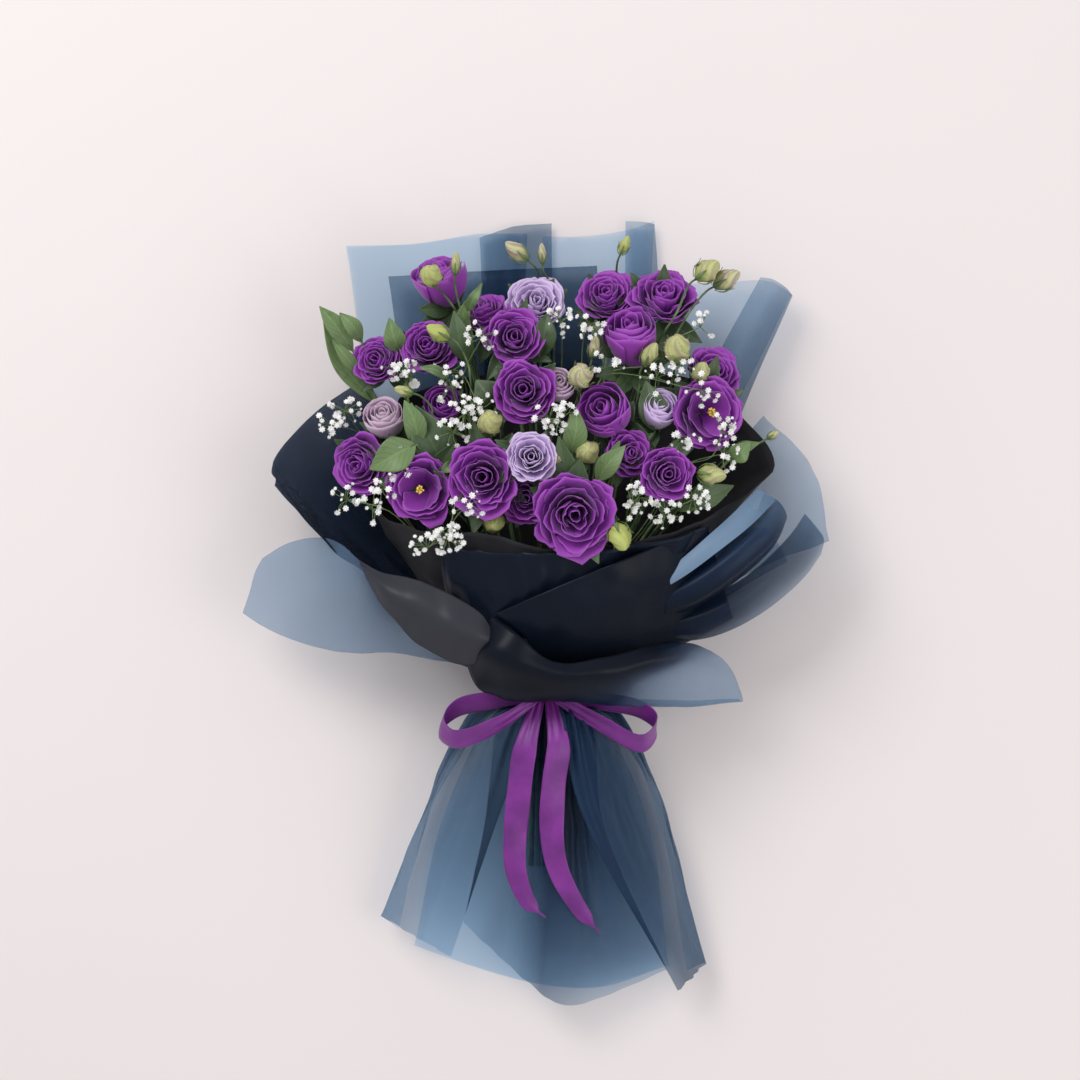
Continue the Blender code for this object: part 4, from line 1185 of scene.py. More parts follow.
@dataclass(frozen=True)
class ClothFinish:
    """A woven or fibrous finish: its two tones, its roughness, its sheen and the scale of its threads."""

    slot: str
    dark: Triple
    light: Triple
    roughness: float
    sheen: float
    threads: float

    def material(self) -> bpy.types.Material:
        """Threads that run both ways over slow changes of tone."""
        made, nodes, shader = new_material(self.slot)
        cloth = nodes.add("ShaderNodeGroup", node_tree=Effect.WOVEN_THREADS.tree(), in_Threads=self.threads)
        tone = nodes.ramp(cloth.outputs["Tone"], (0.25, self.dark), (0.8, self.light))
        nodes.tree.links.new(tone, shader.inputs["Base Color"])
        bump = nodes.add("ShaderNodeBump", in_Strength=0.2, in_Distance=0.0003, in_Height=cloth.outputs["Weave"])
        nodes.tree.links.new(bump.outputs[0], shader.inputs["Normal"])
        shader.inputs["Roughness"].default_value = self.roughness
        shader.inputs["Sheen Weight"].default_value = self.sheen
        shader.inputs["Sheen Roughness"].default_value = 0.3
        return made


@dataclass
class Finishes:
    """Every material of the bouquet, made once."""

    made: dict[str, bpy.types.Material] = field(default_factory=dict)

    def build(self) -> "Finishes":
        """Makes the materials by their slots' names."""
        for finish in (
            # The first colour of each petal finish is its foot, painted shade.
            PetalFinish("petal_purple", (0.09, 0.008, 0.13), (0.27, 0.020, 0.38), (0.42, 0.09, 0.56), 0.35),
            PetalFinish("petal_lavender", (0.36, 0.22, 0.48), (0.64, 0.46, 0.80), (0.78, 0.66, 0.90), 0.4),
            PetalFinish("petal_mauve", (0.34, 0.20, 0.34), (0.62, 0.42, 0.62), (0.74, 0.60, 0.72), 0.45),
            GreenFinish("stem_green", (0.03, 0.06, 0.022), (0.15, 0.235, 0.09)),
            # leaf_shade: a darker copy of the leaf green, painted shade for leaves among and under the flowers
            GreenFinish("leaf_shade", (0.018, 0.035, 0.018), (0.07, 0.12, 0.05)),
            GreenFinish("sprig_green", (0.08, 0.14, 0.04), (0.24, 0.34, 0.14)),
            BudFinish(),
            GreenFinish("floret_white", (0.80, 0.81, 0.78), (0.95, 0.95, 0.94), 0.7),
            GreenFinish("stamen_yellow", (0.55, 0.34, 0.03), (0.85, 0.65, 0.10), 0.6),
            FilmFinish(),
            ClothFinish("liner_black", (0.004, 0.004, 0.006), (0.022, 0.023, 0.03), 0.85, 0.0, 700.0),
            ClothFinish("ribbon_satin", (0.12, 0.012, 0.17), (0.30, 0.035, 0.38), 0.34, 0.15, 900.0),
            ClothFinish("twine_jute", (0.22, 0.15, 0.07), (0.50, 0.38, 0.20), 0.9, 0.2, 500.0),
        ):
            self.made[finish.slot] = finish.material()
        return self

    def dress(self, obj: bpy.types.Object, slot: str) -> bpy.types.Object:
        """Gives a piece one finish."""
        obj.data.materials.clear()
        obj.data.materials.append(self.made[slot])
        return obj


@dataclass
class FlowerHead:
    """A double lisianthus flower: rings of ruffled petals round a tight middle, on a green calyx."""

    name: str
    bloom: Bloom
    finishes: Finishes
    petal_columns: int = 12
    petal_rows: int = 9
    petal_thickness: float = 0.3
    # Each ring: petals, reach and rise as shares of the flower's, flare, half-spread in degrees, cup.
    rings: tuple = (
        (5, 1.00, 0.78, 0.22, 56, 0.50),
        (5, 0.86, 0.90, 0.20, 58, 0.51),
        (4, 0.66, 0.97, 0.18, 66, 0.54),
        (4, 0.47, 1.00, 0.10, 70, 0.58),
        (3, 0.29, 1.00, 0.06, 84, 0.64),
        (2, 0.15, 0.97, 0.02, 110, 0.68),
    )

    # The same for a flower that is only half open.
    cupped_rings: tuple = (
        (4, 1.00, 0.92, 0.05, 74, 0.60),
        (4, 0.84, 0.98, 0.04, 74, 0.62),
        (3, 0.60, 1.00, 0.02, 84, 0.66),
        (3, 0.38, 1.00, 0.00, 90, 0.70),
        (2, 0.20, 0.98, 0.00, 110, 0.72),
    )

    def petal(self, ring: tuple, angle: float, rng: random.Random) -> bpy.types.Object:
        """One petal of a ring, at an angle in radians."""
        _, reach_share, rise_share, flare, spread, cup = ring
        reach = self.bloom.width / 2 * reach_share * rng.uniform(0.90, 1.06)
        rise = self.bloom.depth * rise_share * rng.uniform(0.95, 1.02)
        half = math.radians(spread) * rng.uniform(0.92, 1.08)
        waves = [(rng.uniform(2.2, 5.5), rng.uniform(0, 6.28), rng.uniform(0.5, 1.0)) for _ in range(3)]
        ruffle = self.bloom.width * 0.05 * (0.15 + 0.85 * reach_share) * rng.uniform(0.7, 1.4)
        ruffle *= 0.5 if self.name in HALF_OPEN else 0.8
        lean = rng.choice((0.05, 0.08))

        def shape(u: np.ndarray, v: np.ndarray) -> np.ndarray:
            """The petal's places."""
            v = v * (1 - 0.14 * np.abs(u) ** 2.6)
            across = angle + u * half * (0.45 + 0.55 * np.sin(np.pi / 2 * np.minimum(v * 1.25, 1)))
            radius = reach * (0.1 + 0.9 * np.sin(np.pi * cup * v) ** 0.85) / max(math.sin(math.pi * cup), 0.9)
            height = rise * (v ** 1.25)
            radius = radius + reach * flare * v**5 + reach * lean * u
            height = height - rise * max(flare, 0) * 0.7 * v**6
            wave = sum(size * np.sin(pace * u + phase) for pace, phase, size in waves)
            frill = 0.45 * np.sin(11.0 * u + 3.0 * waves[2][1]) + 0.3 * np.sin(17.0 * u + waves[0][1])
            radius = radius + ruffle * (wave * v**4 + frill * v**8)
            height = height + ruffle * 0.7 * np.cos(waves[0][0] * 1.6 * u + waves[1][1]) * v**4
            radius = np.maximum(radius, 0.4)
            places = np.stack((radius * np.cos(across), radius * np.sin(across), height), axis=-1)
            return placed(places, self.bloom.calyx, self.bloom.axis)

        obj = shaped_grid("petal", self.petal_columns, self.petal_rows, shape)
        tint(obj, rng.uniform(0.0, 0.5) + 0.25 * (1 - reach_share))
        return obj

    def sepal(self, angle: float) -> bpy.types.Object:
        """One narrow green sepal on the outside of the flower."""
        radius, depth = self.bloom.width / 2, self.bloom.depth

        def shape(u: np.ndarray, v: np.ndarray) -> np.ndarray:
            """The sepal's places."""
            width = 0.16 * np.sin(np.pi * np.minimum(v + 0.12, 1.0)) + 0.01
            across = angle + u * width * 1.4
            out = 2.4 + (radius * 0.88 - 1.2) * np.sin(np.pi * 0.5 * v * 0.85) + 0.8 + 2.5 * v**3
            return placed(
                np.stack((out * np.cos(across), out * np.sin(across), depth * 0.62 * v**1.2), axis=-1),
                self.bloom.calyx, self.bloom.axis,
            )

        obj = shaped_grid("sepal", 2, 6, shape)
        tint(obj, 0.2)
        return obj

    def stamens(self, rng: random.Random) -> bpy.types.Object:
        """The yellow stamens of a flower whose middle stands open."""
        parts = []
        for number in range(18):
            angle = number * 2.4
            out = self.bloom.width * (0.01 + 0.07 * rng.random())
            foot = Vector(self.bloom.face) - self.bloom.axis * 16
            side = Vector((out * math.cos(angle), out * math.sin(angle), 0.0))
            side.rotate(self.bloom.axis.to_track_quat("Z", "Y"))
            tip = foot + self.bloom.axis * rng.uniform(13, 17) + side
            parts.append(tube("stamen", [foot, foot.lerp(tip, 0.85), foot.lerp(tip, 0.9), tip], (0.35, 0.9), 6))
        obj = joined(f"{self.name}_stamens", parts)
        tint(obj, 0.3)
        return self.finishes.dress(smooth_shaded(obj), "stamen_yellow")

    def build(self) -> None:
        """Makes the petals, the calyx and, where the middle is open, the stamens."""
        rng = random.Random(self.name)
        opened = self.name in OPEN_CENTRES
        rings = self.rings[:3] if opened else self.cupped_rings if self.name in HALF_OPEN else self.rings
        petals = []
        for number, ring in enumerate(rings):
            turn = rng.uniform(0, 6.28)
            for i in range(ring[0]):
                petals.append(self.petal(ring, turn + i * 2 * math.pi / ring[0] + rng.uniform(-0.28, 0.28), rng))
        flower = smooth_shaded(thickened(joined(f"{self.name}_petals", petals), self.petal_thickness))
        self.finishes.dress(flower, self.bloom.colour.value)
        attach(flower, "root")
        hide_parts(self.name)
        sepals = joined(f"{self.name}_calyx", [self.sepal(i * 2 * math.pi / 5 + 0.4) for i in range(5)])
        sepals = self.finishes.dress(smooth_shaded(thickened(sepals, 0.6, 1)), "stem_green")
        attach(sepals, "root")
        if opened:
            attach(self.stamens(rng), "root")
        LOG.info("%s: %d petals", self.name, len(petals))


def bundle_points(slot: tuple) -> list[Vector]:
    """A stem's places at its cut end and on both sides of the tie."""
    angle, reach = math.radians(slot[0]), slot[1] * STEM_PITCH
    across, up = reach * math.cos(angle), reach * math.sin(angle)
    return [
        Vector((across * CUT_END_SPREAD, CUT_END_Y, CUT_END_Z + up * CUT_END_SPREAD)),
        Vector((across, TIE_Y - NECK_HALF_LENGTH, TIE_Z + up)),
        Vector((across, TIE_Y + NECK_HALF_LENGTH, TIE_Z + up)),
    ]


def shoot_start(fork: Triple, number: int) -> Vector:
    """Where a numbered shoot leaves its stem."""
    return Vector(fork) + (TIE - Vector(fork)).normalized() * SHOOT_STAGGER * number


def shoot_line(start: Vector, via: tuple, end: Vector, axis: Vector, lead: float) -> list[Vector]:
    """A side shoot's way from its start to its end, which it meets straight along an axis."""
    approach = end - axis * lead
    between = [Vector(point) for point in via] or [start.lerp(approach, 0.5)]
    return [start, *between, approach, end]


@dataclass
class LeafySpray:
    """One lisianthus stem with its shoots, twisted buds and ribbed leaves."""

    name: str
    spray: Spray
    finishes: Finishes
    stem_radius: float = 2.5
    shoot_radius: float = 1.1

    def bud(self, bud: Bud, rng: random.Random) -> bpy.types.Object:
        """A bud of petals that wind tightly round each other."""
        turn = rng.uniform(0, 6.28)

        def shape(u: np.ndarray, v: np.ndarray) -> np.ndarray:
            """The bud's places: a spindle with a spiral groove."""
            spiral = np.pi * u + turn + 2.2 * v
            profile = np.interp(v, (0, 0.06, 0.3, 0.55, 0.82, 0.95, 1.0), (0.12, 0.42, 0.95, 1.0, 0.66, 0.32, 0.02))
            groove = 1 + 0.30 * (((spiral * 4 / (2 * np.pi)) % 1) - 0.6) * np.minimum(v * 3, 1)
            radius = bud.width / 2 * profile * groove
            angle = np.pi * u
            places = np.stack((radius * np.cos(angle), radius * np.sin(angle), bud.length * v), axis=-1)
            return placed(places, Vector(bud.foot), bud.axis)

        obj = shaped_grid("bud", 36, 16, shape)
        places = np.empty(len(obj.data.vertices))
        u = np.tile(np.linspace(-1, 1, 37), 17)
        v = np.repeat(np.linspace(0, 1, 17), 37)
        places[:] = ((np.pi * u + turn + 2.2 * v) * 4 / (2 * np.pi)) % 1
        fold = obj.data.attributes.new("fold", "FLOAT", "POINT")
        fold.data.foreach_set("value", places)
        tint(obj, rng.uniform(0.0, 0.9))
        return obj

    def bud_sepals(self, bud: Bud) -> bpy.types.Object:
        """The narrow green sepals that clasp a bud."""
        parts = []
        for number in range(5):
            angle = number * 2 * math.pi / 5 + 0.3

            def shape(u: np.ndarray, v: np.ndarray) -> np.ndarray:
                """One sepal's places."""
                out = bud.width / 2 * np.interp(v, (0, 0.3, 0.8, 1.0), (0.3, 0.98, 1.1, 1.3)) + 0.5
                across = angle + u * 0.26 * (1 - v) ** 0.7
                height = bud.length * 0.62 * v
                places = np.stack((out * np.cos(across), out * np.sin(across), height), axis=-1)
                return placed(places, Vector(bud.foot), bud.axis)

            parts.append(shaped_grid("sepal", 2, 5, shape))
        obj = thickened(joined("sepals", parts), 0.5)
        tint(obj, 0.5)
        return obj

    def leaf(self, leaf: Leaf, rng: random.Random) -> bpy.types.Object:
        """A pointed leaf, folded along its rib, with a waved edge."""
        line = [Vector(leaf.base), Vector(leaf.middle), Vector(leaf.tip)]
        side = (line[2] - line[0]).cross(Vector((0.0, 0.0, 1.0))).normalized()
        phase = rng.uniform(0, 6.28)

        def shape(u: np.ndarray, v: np.ndarray) -> np.ndarray:
            """The leaf's places."""
            places = []
            for across, along in zip(u, v):
                half = 0.5 + (leaf.width / 2 - 0.5) * math.sin(math.pi * min(along, 1.0) ** 0.8) ** 1.05
                place = on_curve(line, 2 * along) + side * across * half
                place.z += abs(across) * half * 0.32 + 0.6 * math.sin(9 * along + phase) * across**2
                places.append(in_frame(place))
            return np.array([tuple(place) for place in places])

        obj = shaped_grid("leaf", 6, 12, shape)
        tint(obj, rng.uniform(0.2, 0.9))
        return obj

    def filler_leaves(self, rng: random.Random) -> None:
        """Makes the leaves under each flower, dressed in painted shade, as one piece."""
        blades = []
        for carried in self.spray.blooms:
            bloom = BLOOMS[carried]
            foot = bloom.calyx - bloom.axis * 6
            for number in range(6):
                angle = number * 1.05 + rng.uniform(-0.5, 0.5)
                out = Vector((math.cos(angle), math.sin(angle) + 0.2, 0.0)).normalized()
                reach = bloom.width * rng.uniform(0.6, 1.0)
                middle = foot + out * reach * 0.5 + Vector((0, 0, bloom.depth * 0.35))
                tip = foot + out * reach + Vector((0, 0, bloom.depth * rng.uniform(0.35, 0.6)))
                blades.append(self.leaf(Leaf(tuple(foot), tuple(middle), tuple(tip), bloom.width * 0.38), rng))
        made = thickened(joined(f"{self.name}_filler", blades), 0.6, 1)
        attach(self.finishes.dress(smooth_shaded(made), "leaf_shade"), "root")

    def build(self) -> None:
        """Makes the stem and its leaves as one piece and its buds as another."""
        rng = random.Random(self.name)
        stems, buds, greens = [], [], []
        for carried in self.spray.blooms:
            bloom = BLOOMS[carried]
            start = shoot_start(self.spray.fork, len(stems))
            line = shoot_line(start, bloom.via, bloom.calyx - bloom.axis * 0.3, bloom.axis, BLOOM_LEAD)
            if stems:
                stems.append(tube("shoot", smooth_line(line, 5), (self.shoot_radius, self.shoot_radius), 8))
            else:
                main = smooth_line(bundle_points(self.spray.slot) + line, 5)
                stems.append(tube("stem", main, (self.stem_radius, self.shoot_radius * 1.2), 10))
        for bud in self.spray.buds:
            start = shoot_start(self.spray.fork, len(stems))
            line = shoot_line(start, bud.via, Vector(bud.foot) + bud.axis * 3, bud.axis, SHOOT_LEAD)
            stems.append(tube("shoot", smooth_line(line, 4), (self.shoot_radius, 0.9), 8))
            buds.append(self.bud(bud, rng))
            stems.append(self.bud_sepals(bud))
        for leaf in self.spray.leaves:
            base, middle = Vector(leaf.base), Vector(leaf.middle)
            start = shoot_start(self.spray.fork, len(stems))
            stalk = [start, *(Vector(point) for point in leaf.via), base, base.lerp(middle, 0.3)]
            stems.append(tube("stalk", smooth_line(stalk, 4), (self.shoot_radius, 0.8), 8))
            greens.append(self.leaf(leaf, rng))
        for stem in stems:
            tint(stem, 0.1)
        if greens:
            stems.append(thickened(joined("leaves", greens), 0.7, 1))
        self.filler_leaves(rng)
        plant = self.finishes.dress(smooth_shaded(joined(f"{self.name}_leaves", stems)), "stem_green")
        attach(plant, "root")
        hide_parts(self.name)
        if buds:
            closed = self.finishes.dress(smooth_shaded(joined(f"{self.name}_buds", buds)), "bud_cream")
            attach(closed, "root")
        LOG.info("%s: %d shoots, %d buds, %d leaves", self.name, len(stems), len(buds), len(greens))


@dataclass
class FloretSprig:
    """One gypsophila stem: fine threads that carry clusters of small white florets."""

    name: str
    sprig: Sprig
    finishes: Finishes
    florets: int = 15
    spread: float = 15.0
    floret_radius: float = 3.1

    def floret(self, place: Vector, facing: Vector, rng: random.Random) -> bpy.types.Object:
        """A small double floret: two rings of notched petals."""
        radius = self.floret_radius * (rng.uniform(0.85, 1.12) if rng.random() < 0.7 else rng.uniform(0.4, 0.65))
        obj = self.model.copy()
        obj.data = self.model.data.copy()
        bpy.context.scene.collection.objects.link(obj)
        turn = facing.to_track_quat("Z", "Y").to_matrix().to_4x4() @ Matrix.Rotation(rng.uniform(0, 6.28), 4, "Z")
        obj.data.transform(Matrix.Translation(in_frame(place)) @ turn @ Matrix.Scale(radius * MM, 4))
        return obj

    def make_model(self) -> bpy.types.Object:
        """The floret that the others are copies of, one unit across its radius: three cupped, notched layers."""
        layers = []
        for scale, lift, turn, cup in ((1.0, 0.0, 0.0, 0.14), (0.72, 0.1, 0.3, 0.3), (0.44, 0.2, 0.7, 0.5)):
            bpy.ops.object.select_all(action="DESELECT")
            bpy.ops.mesh.primitive_cone_add(vertices=14, radius1=1.0, radius2=0.0, depth=0.3, end_fill_type="NOTHING")
            layer = bpy.context.active_object
            for vert in layer.data.vertices:
                out = math.hypot(vert.co.x, vert.co.y)
                notch = 1.0 if vert.index % 2 else 0.68
                vert.co = Vector((vert.co.x * notch, vert.co.y * notch, cup * notch)) if out > 0.5 else Vector()
            move = Matrix.Translation((0, 0, lift)) @ Matrix.Rotation(turn, 4, "Z") @ Matrix.Scale(scale, 4)
            layer.data.transform(move)
            layers.append(layer)
        made = joined("floret", layers)
        tint(made, 0.4)
        return made

    def build(self) -> None:
        """Makes the stem with its threads, and the florets."""
        rng = random.Random(self.name)
        self.model = self.make_model()
        fork = Vector(self.sprig.fork)
        threads = [tube("trunk", smooth_line(bundle_points(self.sprig.slot) + [fork], 6), (2.2, 1.4), 8)]
        florets = []
        clusters = list(self.sprig.clusters)
        for carrier, middle in EXTRA_CLUSTERS:
            if carrier == self.name:
                near = min(self.sprig.clusters, key=lambda cluster: (Vector(cluster.middle) - Vector(middle)).length)
                clusters.append(Cluster(middle, near.via))
        for cluster in clusters:
            middle = Vector(cluster.middle)
            line = smooth_line([fork, *(Vector(point) for point in cluster.via), middle - Vector((0, 0, 8))], 5)
            threads.append(tube("thread", line, (0.7, 0.4), 6))
            for _ in range(rng.randint(self.florets - 6, self.florets + 3)):
                angle, out = rng.uniform(0, 6.28), self.spread * math.sqrt(rng.random())
                place = middle + Vector((out * math.cos(angle), out * math.sin(angle), rng.uniform(-3, 6)))
                foot = line[-1]
                bend = foot.lerp(place, 0.5) + Vector((rng.uniform(-2, 2), rng.uniform(-2, 2), 1))
                threads.append(tube("thread", smooth_line([foot, bend, place], 3), (0.3, 0.25), 4))
                facing = Vector((0.05 * out * math.cos(angle), 0.05 * out * math.sin(angle) - 0.1, 1.0))
                facing += Vector((rng.uniform(-0.5, 0.5), rng.uniform(-0.5, 0.5), 0))
                florets.append(self.floret(place, facing, rng))
        for thread in threads:
            tint(thread, 0.2)
        bpy.data.objects.remove(self.model)
        stem = self.finishes.dress(smooth_shaded(joined(f"{self.name}_threads", threads)), "sprig_green")
        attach(stem, "root")
        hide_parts(self.name)
        count = len(florets)
        white = self.finishes.dress(joined(f"{self.name}_florets", florets), "floret_white")
        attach(white, "root")
        LOG.info("%s: %d florets", self.name, count)


@dataclass
class WrappingFilm:
    """A film gathered at the tie, with pleats that run out from the neck and slack creases."""

    name: str
    film: Film
    finishes: Finishes
    pleat_pitch_deg: float = 13.0
    pleat_height: float = 2.6
    slack: float = 2.4
    columns: int = 72
    rows: int = 56
    thickness: float = 0.25

    def column(self, share: float) -> list[Vector]:
        """A column of the film, from its lower neck edge out to its last line."""
        start, stop = self.film.arc
        angle = math.radians(start + (stop - start) * share)
        radius = FIRST_LAYER_RADIUS + LAYER_PITCH * self.film.layer
        ring = Vector((radius * math.cos(angle), 0.0, radius * math.sin(angle)))
        neck = Vector((0.0, NECK_HALF_LENGTH * self.film.towards, 0.0))
        points = [TIE + ring - neck, TIE + ring + neck]
        for rail in self.film.rails:
            places = [Vector(place) for place in rail]
            points.append(on_curve(places, share * (len(places) - 1)))
        return points

    def shape(self, u: np.ndarray, v: np.ndarray) -> np.ndarray:
        """The film's places, pleated and creased."""
        count = self.columns + 1
        order = np.lexsort((u, v))
        shares = np.linspace(0, 1, count)
        columns = [self.column(share) for share in shares]
        spans = len(columns[0]) - 1
        steps = np.linspace(0, 1, self.rows + 1)
        table = np.array([[tuple(on_curve(c, spans * step)) for c in columns] for step in steps])
        across = np.gradient(table, axis=1)
        along = np.gradient(table, axis=0)
        normal = np.cross(across, along)
        normal /= np.maximum(np.linalg.norm(normal, axis=2, keepdims=True), 1e-9)
        seed = 10.0 * self.film.layer + len(self.name)
        pleats = (self.film.arc[1] - self.film.arc[0]) / self.pleat_pitch_deg
        lift = np.zeros((self.rows + 1, count))
        for i, step in enumerate(steps):
            grown = max(0.0, step * spans - 1.0) / (spans - 1)
            pleat = self.pleat_height * (0.08 + 1.0 * math.sin(math.pi * min(grown * 1.6, 1.0)) + 0.25 * grown)
            for j, share in enumerate(shares):
                drift = noise.noise(Vector((share * 4, grown * 1.5, seed)))
                wave = math.sin(2 * math.pi * pleats * share + 4.5 * drift)
                crease = noise.noise(Vector((share * 7 + seed, grown * 5, seed)))
                fine = noise.noise(Vector((share * 18 + seed, grown * 13, seed)))
                lift[i, j] = pleat * (wave if grown else wave * 0.5)
                lift[i, j] += self.slack * min(grown * 3, 1.0) * (crease * 1.6 + fine * 0.5)
                if not grown:
                    lift[i, j] = 0.25 * wave
        table += normal * lift[..., None]
        table[..., 2] = np.maximum(table[..., 2], FLOOR_FILM_Z)
        flat = (table.reshape(-1, 3) + np.array(TIE_FROM_ORIGIN)) * MM
        places = np.empty_like(flat)
        places[order] = flat
        return places

    def lay_cover(self, sheet: bpy.types.Object) -> None:
        """Gives every vertex how much of the film's own colour shows there, for its layers and for painted shade in its
        folds, with its painted reflection and painted light, which the finish reads.
        """
        spans = len(self.film.rails) + 1
        table = np.array(COVER[self.name], dtype=float)
        grown = np.clip((np.arange(self.rows + 1) / self.rows * spans - 1.0) / (spans - 1), 0, 1)
        across = np.linspace(0, 1, self.columns + 1)
        lines = np.array([np.interp(across, np.linspace(0, 1, table.shape[1]), row) for row in table])
        stops = np.linspace(0, 1, table.shape[0])
        cover = np.array([np.interp(grown, stops, lines[:, j]) for j in range(self.columns + 1)]).T
        # cover carries the layers and painted shade, pale the painted reflection, lit the painted light
        for layer_name, values in (
            ("cover", cover.reshape(-1)), ("pale", np.zeros(cover.size)), ("lit", turned_to_light(cover.reshape(-1), LIT_FILMS.get(self.name, (0.0, 0.0)))),
        ):
            layer = sheet.data.attributes.new(layer_name, "FLOAT", "POINT")
            layer.data.foreach_set("value", values)

    def build(self) -> None:
        sheet = shaped_grid(f"{self.name}_sheet", self.columns, self.rows, self.shape)
        self.lay_cover(sheet)
        middle = self.column(0.5)
        length = sum((b - a).length for a, b in zip(middle, middle[1:])) * MM
        slot = "liner_black" if self.name == "black_liner" else "film_blue"
        thickened(sheet, self.thickness)
        self.finishes.dress(smooth_shaded(sheet), slot)
        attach(sheet, "root")
        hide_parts(self.name)


@dataclass
class FoldedPatch:
    """A sheet, or a fold of one, through rows of places."""

    name: str
    patch: Patch
    finishes: Finishes
    columns: int = 60
    rows: int = 30
    thickness: float = 0.25
    cover: np.ndarray = field(default_factory=lambda: np.zeros(0))

    def shape(self, u: np.ndarray, v: np.ndarray) -> np.ndarray:
        """The sheet's places, with slack creases."""
        across_steps = np.linspace(0, 1, self.columns + 1)
        lines = [[Vector(place) for place in row] for row in self.patch.rows]
        spread = [[on_curve(line, share * (len(line) - 1)) for share in across_steps] for line in lines]
        last = len(lines) - 1
        grid = []
        for step in np.linspace(0, 1, self.rows + 1):
            grid.append([tuple(on_curve([row[j] for row in spread], step * last)) for j in range(self.columns + 1)])
        table = np.array(grid)
        self.cover = np.clip(table[..., 3], 0, 1)
        table = table[..., :3]
        normal = np.cross(np.gradient(table, axis=1), np.gradient(table, axis=0))
        normal /= np.maximum(np.linalg.norm(normal, axis=2, keepdims=True), 1e-9)
        seed = 3.0 * len(self.name)
        for i in range(self.rows + 1):
            for j in range(self.columns + 1):
                x, y, _ = table[i, j]
                slow = noise.noise(Vector((x * 0.022, y * 0.03, seed)))
                fine = noise.noise(Vector((x * 0.06 + seed, y * 0.05, seed)))
                table[i, j] += normal[i, j] * self.patch.slack * (1.6 * slow + 0.7 * fine)
        table[..., 2] = np.maximum(table[..., 2], FLOOR_FILM_Z)
        order = np.lexsort((u, v))
        places = np.empty((len(u), 3))
        places[order] = (table.reshape(-1, 3) + np.array(TIE_FROM_ORIGIN)) * MM
        return places

    def build(self) -> None:
        sheet = shaped_grid(self.name, self.columns, self.rows, self.shape)
        # cover carries the layers and painted shade, pale the painted reflection, lit the painted light
        for layer_name, values in (
            ("cover", self.cover), ("pale", np.full(self.cover.shape, self.patch.pale)),
            ("lit", turned_to_light(self.cover, self.patch.lit)),
        ):
            layer = sheet.data.attributes.new(layer_name, "FLOAT", "POINT")
            layer.data.foreach_set("value", values.reshape(-1))
        across = [in_frame(Vector(place[:3])) for place in self.patch.rows[len(self.patch.rows) // 2]]
        length = sum((b - a).length for a, b in zip(across, across[1:]))
        thickened(sheet, self.thickness)
        self.finishes.dress(smooth_shaded(sheet), self.patch.slot)
        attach(sheet, "root")
        if self.patch.stands_for:
            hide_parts(self.patch.stands_for)


@dataclass
class ShownLeaves:
    """The broad leaves that show between the flowers."""

    finishes: Finishes

    def build(self) -> None:
        """Makes the leaves in the light as one piece and those in painted shade as another."""
        rng = random.Random("leaves")
        for shaded, slot in ((False, "stem_green"), (True, "leaf_shade")):
            parts = []
            maker = LeafySpray("shown", SPRAYS["spray_stem_01"], self.finishes)
            for base, tip, width, in_shade in SHOWN_LEAVES:
                if in_shade != shaded:
                    continue
                foot, end = Vector(base), Vector(tip)
                middle = foot.lerp(end, 0.5) + Vector((rng.uniform(-3, 3), rng.uniform(-3, 3), 7))
                parts.append(maker.leaf(Leaf(base, tuple(middle), tip, width), rng))
                low = foot + (TIE - foot).normalized() * 30
                stalk = tube("stalk", smooth_line([low, foot, foot.lerp(middle, 0.3)], 4), (1.0, 0.8), 8)
                tint(stalk, 0.2)
                parts.append(stalk)
            piece = thickened(joined(f"shown_leaves_{slot}", parts), 0.6, 1)
            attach(self.finishes.dress(smooth_shaded(piece), slot), "root")


@dataclass
class BindingTwine:
    """The twine that binds the stems: three strands laid up together in a ring."""

    finishes: Finishes
    strands: int = 3
    turns: int = 22

    def build(self) -> None:
        """Makes the ring."""
        parts = []
        for strand in range(self.strands):
            line = []
            for step in range(241):
                angle = 2 * math.pi * step / 240
                lay = self.turns * angle + 2 * math.pi * strand / self.strands
                radius = TWINE_RING_RADIUS + 0.5 * math.cos(lay)
                line.append(TIE + Vector((radius * math.cos(angle), 0.5 * math.sin(lay), radius * math.sin(angle))))
            parts.append(tube("strand", line, (0.55, 0.55), 6))
        ring = self.finishes.dress(smooth_shaded(joined("binding_twine_strands", parts)), "twine_jute")
        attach(ring, "root")
        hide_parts("binding_twine")
        LOG.info("binding_twine: %d strands", self.strands)


# A tail's width, as a share of the ribbon's, at steps along it: its end is drawn to a point and a thread.
TAIL_TAPER = ((0.0, 0.45, 0.7, 0.86, 0.93, 1.0), (1.0, 1.0, 0.84, 0.6, 0.08, 0.04))


